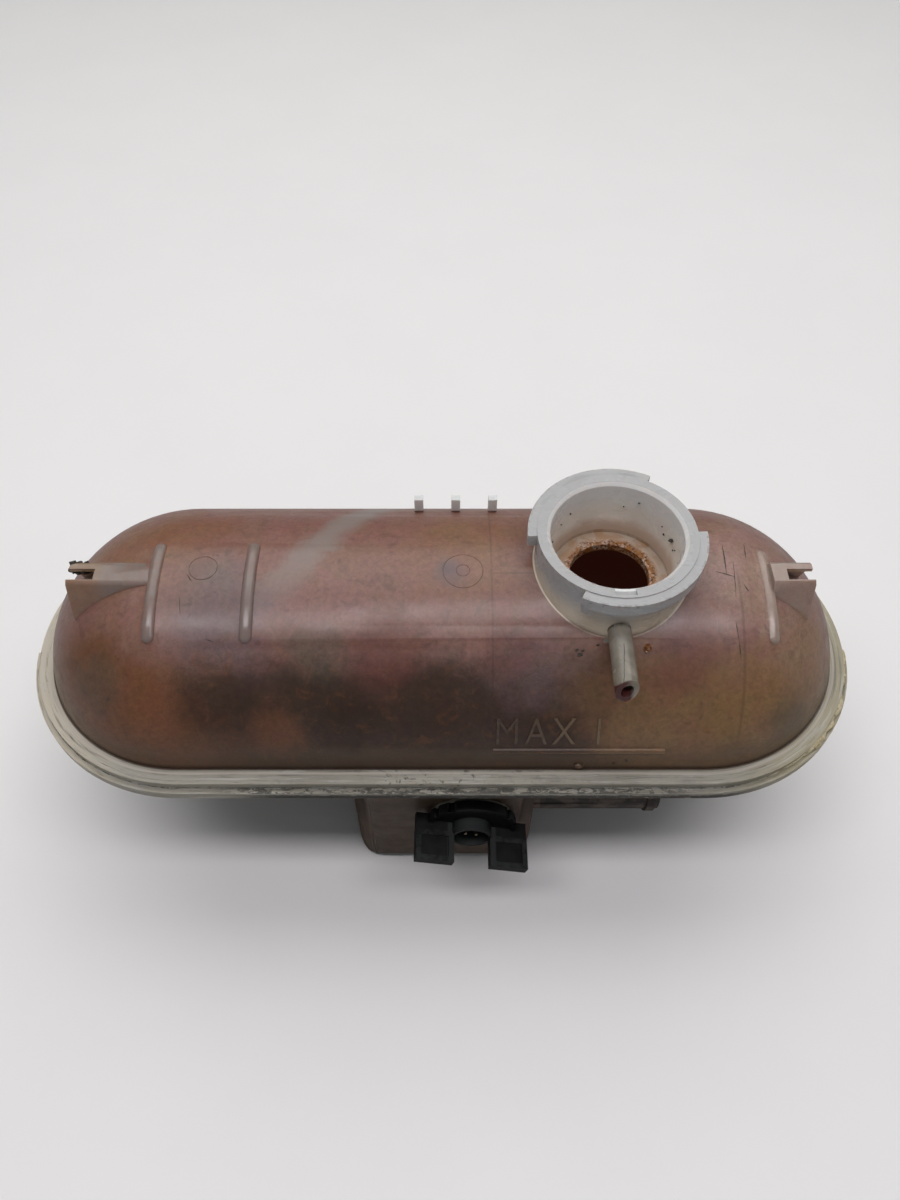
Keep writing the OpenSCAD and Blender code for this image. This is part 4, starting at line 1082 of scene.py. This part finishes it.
class TANK_OT_sensor_fittings(Operator):
    """Finish the seal, resin, blades, switch, leads, float and magnet"""
    bl_idname = "tank.sensor_fittings"
    bl_label = "Sensor fittings"

    def execute(self, context):
        settings = context.scene.tank_sensor
        brass = mottled(
            "terminal_brass", settings.brass_colour, (0.250, 0.200, 0.130), 0.9, 0.30, 0.00002, Metallic=1.0)
        repaint("terminal_left", brass)
        repaint("terminal_right", brass)
        repaint("sensor_seal", mottled(
            "seal_rubber", settings.rubber_colour, (0.030, 0.028, 0.026), 1.2, 0.45, 0.00005))
        repaint("sensor_resin", mottled(
            "cast_resin", settings.resin_colour, (0.060, 0.042, 0.024), 0.5, 0.18, 0.00010, Coat_Weight=0.4))
        repaint("switch_capsule", mottled(
            "switch_glass", (0.700, 0.800, 0.760), (0.600, 0.720, 0.680), 0.6, 0.02, 0.00001,
            Transmission_Weight=0.85, IOR=1.5))
        repaint("switch_leads", mottled(
            "lead_wire", settings.lead_colour, (0.420, 0.400, 0.370), 1.5, 0.25, 0.00002, Metallic=1.0))
        repaint("float_magnet", mottled(
            "magnet_steel", settings.magnet_colour, (0.110, 0.105, 0.100), 1.4, 0.35, 0.00004, Metallic=0.9))
        repaint("sensor_float", foam(settings))
        return {"FINISHED"}


class TANK_OT_studio(Operator):
    """Set up the pale floor, the backdrop, the lamps and the camera"""
    bl_idname = "tank.studio"
    bl_label = "Studio"

    def execute(self, context):
        settings = context.scene.tank_studio
        upright = Matrix.Translation((0.0, BACKDROP_Y, 0.0)) @ Matrix.Rotation(math.pi / 2, 4, "X")
        floor = paper_sheet("floor", settings.floor_colour, Matrix.Identity(4))
        backdrop = paper_sheet("backdrop", settings.backdrop_colour, upright)
        lamp("overhead_lamp", (0.0, 0.62, 1.15), (2.0, 1.0), settings.overhead_power, (1.0, 0.985, 0.965))
        lamp("strip_lamp", (0.0, -0.235, 1.15), (1.5, 0.20), settings.strip_power, (1.0, 0.955, 0.99))
        world = bpy.data.worlds.new("pale_surround")
        context.scene.world = world
        world.use_nodes = True
        sky = world.node_tree.nodes["Background"].inputs
        sky["Color"].default_value = (0.92, 0.95, 1.0, 1.0)
        sky["Strength"].default_value = settings.world_strength
        data = bpy.data.cameras.new("photo_camera")
        data.lens = settings.camera_lens
        data.sensor_width = 36.0
        data.sensor_fit = "AUTO"
        camera = bpy.data.objects.new("photo_camera", data)
        camera.location = settings.camera_place
        camera.rotation_euler = (settings.camera_tilt, 0.0, 0.0)
        context.scene.collection.objects.link(camera)
        context.scene.camera = camera
        context.scene.view_settings.view_transform = "Standard"
        return {"FINISHED"}


def paper_sheet(name, colour, place):
    """A sheet of matt paper that the plastic reflects darker than the camera sees it."""
    material, wire, shader = new_material(name + "_paper", Roughness=0.85)
    tint = wire.rise(wire.grain(wire.place(), 0.012, 3.0, 0.6), 0.3, 0.7)
    seen = wire.blend(tint, [channel * 0.985 for channel in colour], colour)
    mirrored = wire.add("ShaderNodeLightPath").outputs["Is Glossy Ray"]
    wire.feed(shader.inputs["Base Color"], wire.blend(mirrored, seen, [channel * 0.45 for channel in colour]))
    bm = bmesh.new()
    bmesh.ops.create_grid(bm, x_segments=1, y_segments=1, size=SHEET_HALF, matrix=place)
    return new_piece(bm, "studio_" + name, material)


def lamp(name, place, size, power, colour):
    """A soft oblong lamp that looks at the object."""
    data = bpy.data.lights.new(name, "AREA")
    data.shape = "RECTANGLE"
    data.size, data.size_y = size
    data.energy = power
    data.color = colour
    light = bpy.data.objects.new(name, data)
    light.location = place
    light.rotation_euler = (Vector(LAMP_TARGET) - Vector(place)).to_track_quat("-Z", "Y").to_euler()
    bpy.context.scene.collection.objects.link(light)


STEPS = (
    TANK_OT_upper_moulding, TANK_OT_lower_moulding, TANK_OT_weld, TANK_OT_markings, TANK_OT_dirt,
    TANK_OT_sensor_housing, TANK_OT_sensor_fittings, TANK_OT_studio,
)
SETTINGS = (
    ("tank_plastic", TankPlasticSettings), ("tank_sensor", SensorSettings), ("tank_studio", StudioSettings),
)


class TANK_PT_dress(Panel):
    """Settings and steps that dress the tank"""
    bl_label = "Expansion tank"
    bl_idname = "TANK_PT_dress"
    bl_space_type = "VIEW_3D"
    bl_region_type = "UI"
    bl_category = "Expansion Tank"

    def draw(self, context):
        for holder, group in SETTINGS:
            box = self.layout.box()
            for name in group.__annotations__:
                box.prop(getattr(context.scene, holder), name)
        for step in STEPS:
            self.layout.operator(step.bl_idname)


def register():
    for holder, group in SETTINGS:
        bpy.utils.register_class(group)
        setattr(bpy.types.Scene, holder, PointerProperty(type=group))
    for step in STEPS:
        bpy.utils.register_class(step)
    bpy.utils.register_class(TANK_PT_dress)


def unregister():
    bpy.utils.unregister_class(TANK_PT_dress)
    for step in reversed(STEPS):
        bpy.utils.unregister_class(step)
    for holder, group in reversed(SETTINGS):
        delattr(bpy.types.Scene, holder)
        bpy.utils.unregister_class(group)


def main():
    register()
    make_groups()
    bpy.ops.tank.upper_moulding()
    bpy.ops.tank.lower_moulding()
    bpy.ops.tank.weld()
    bpy.ops.tank.markings()
    bpy.ops.tank.dirt()
    bpy.ops.tank.sensor_housing()
    bpy.ops.tank.sensor_fittings()
    bpy.ops.tank.studio()


if __name__ == "__main__":
    main()
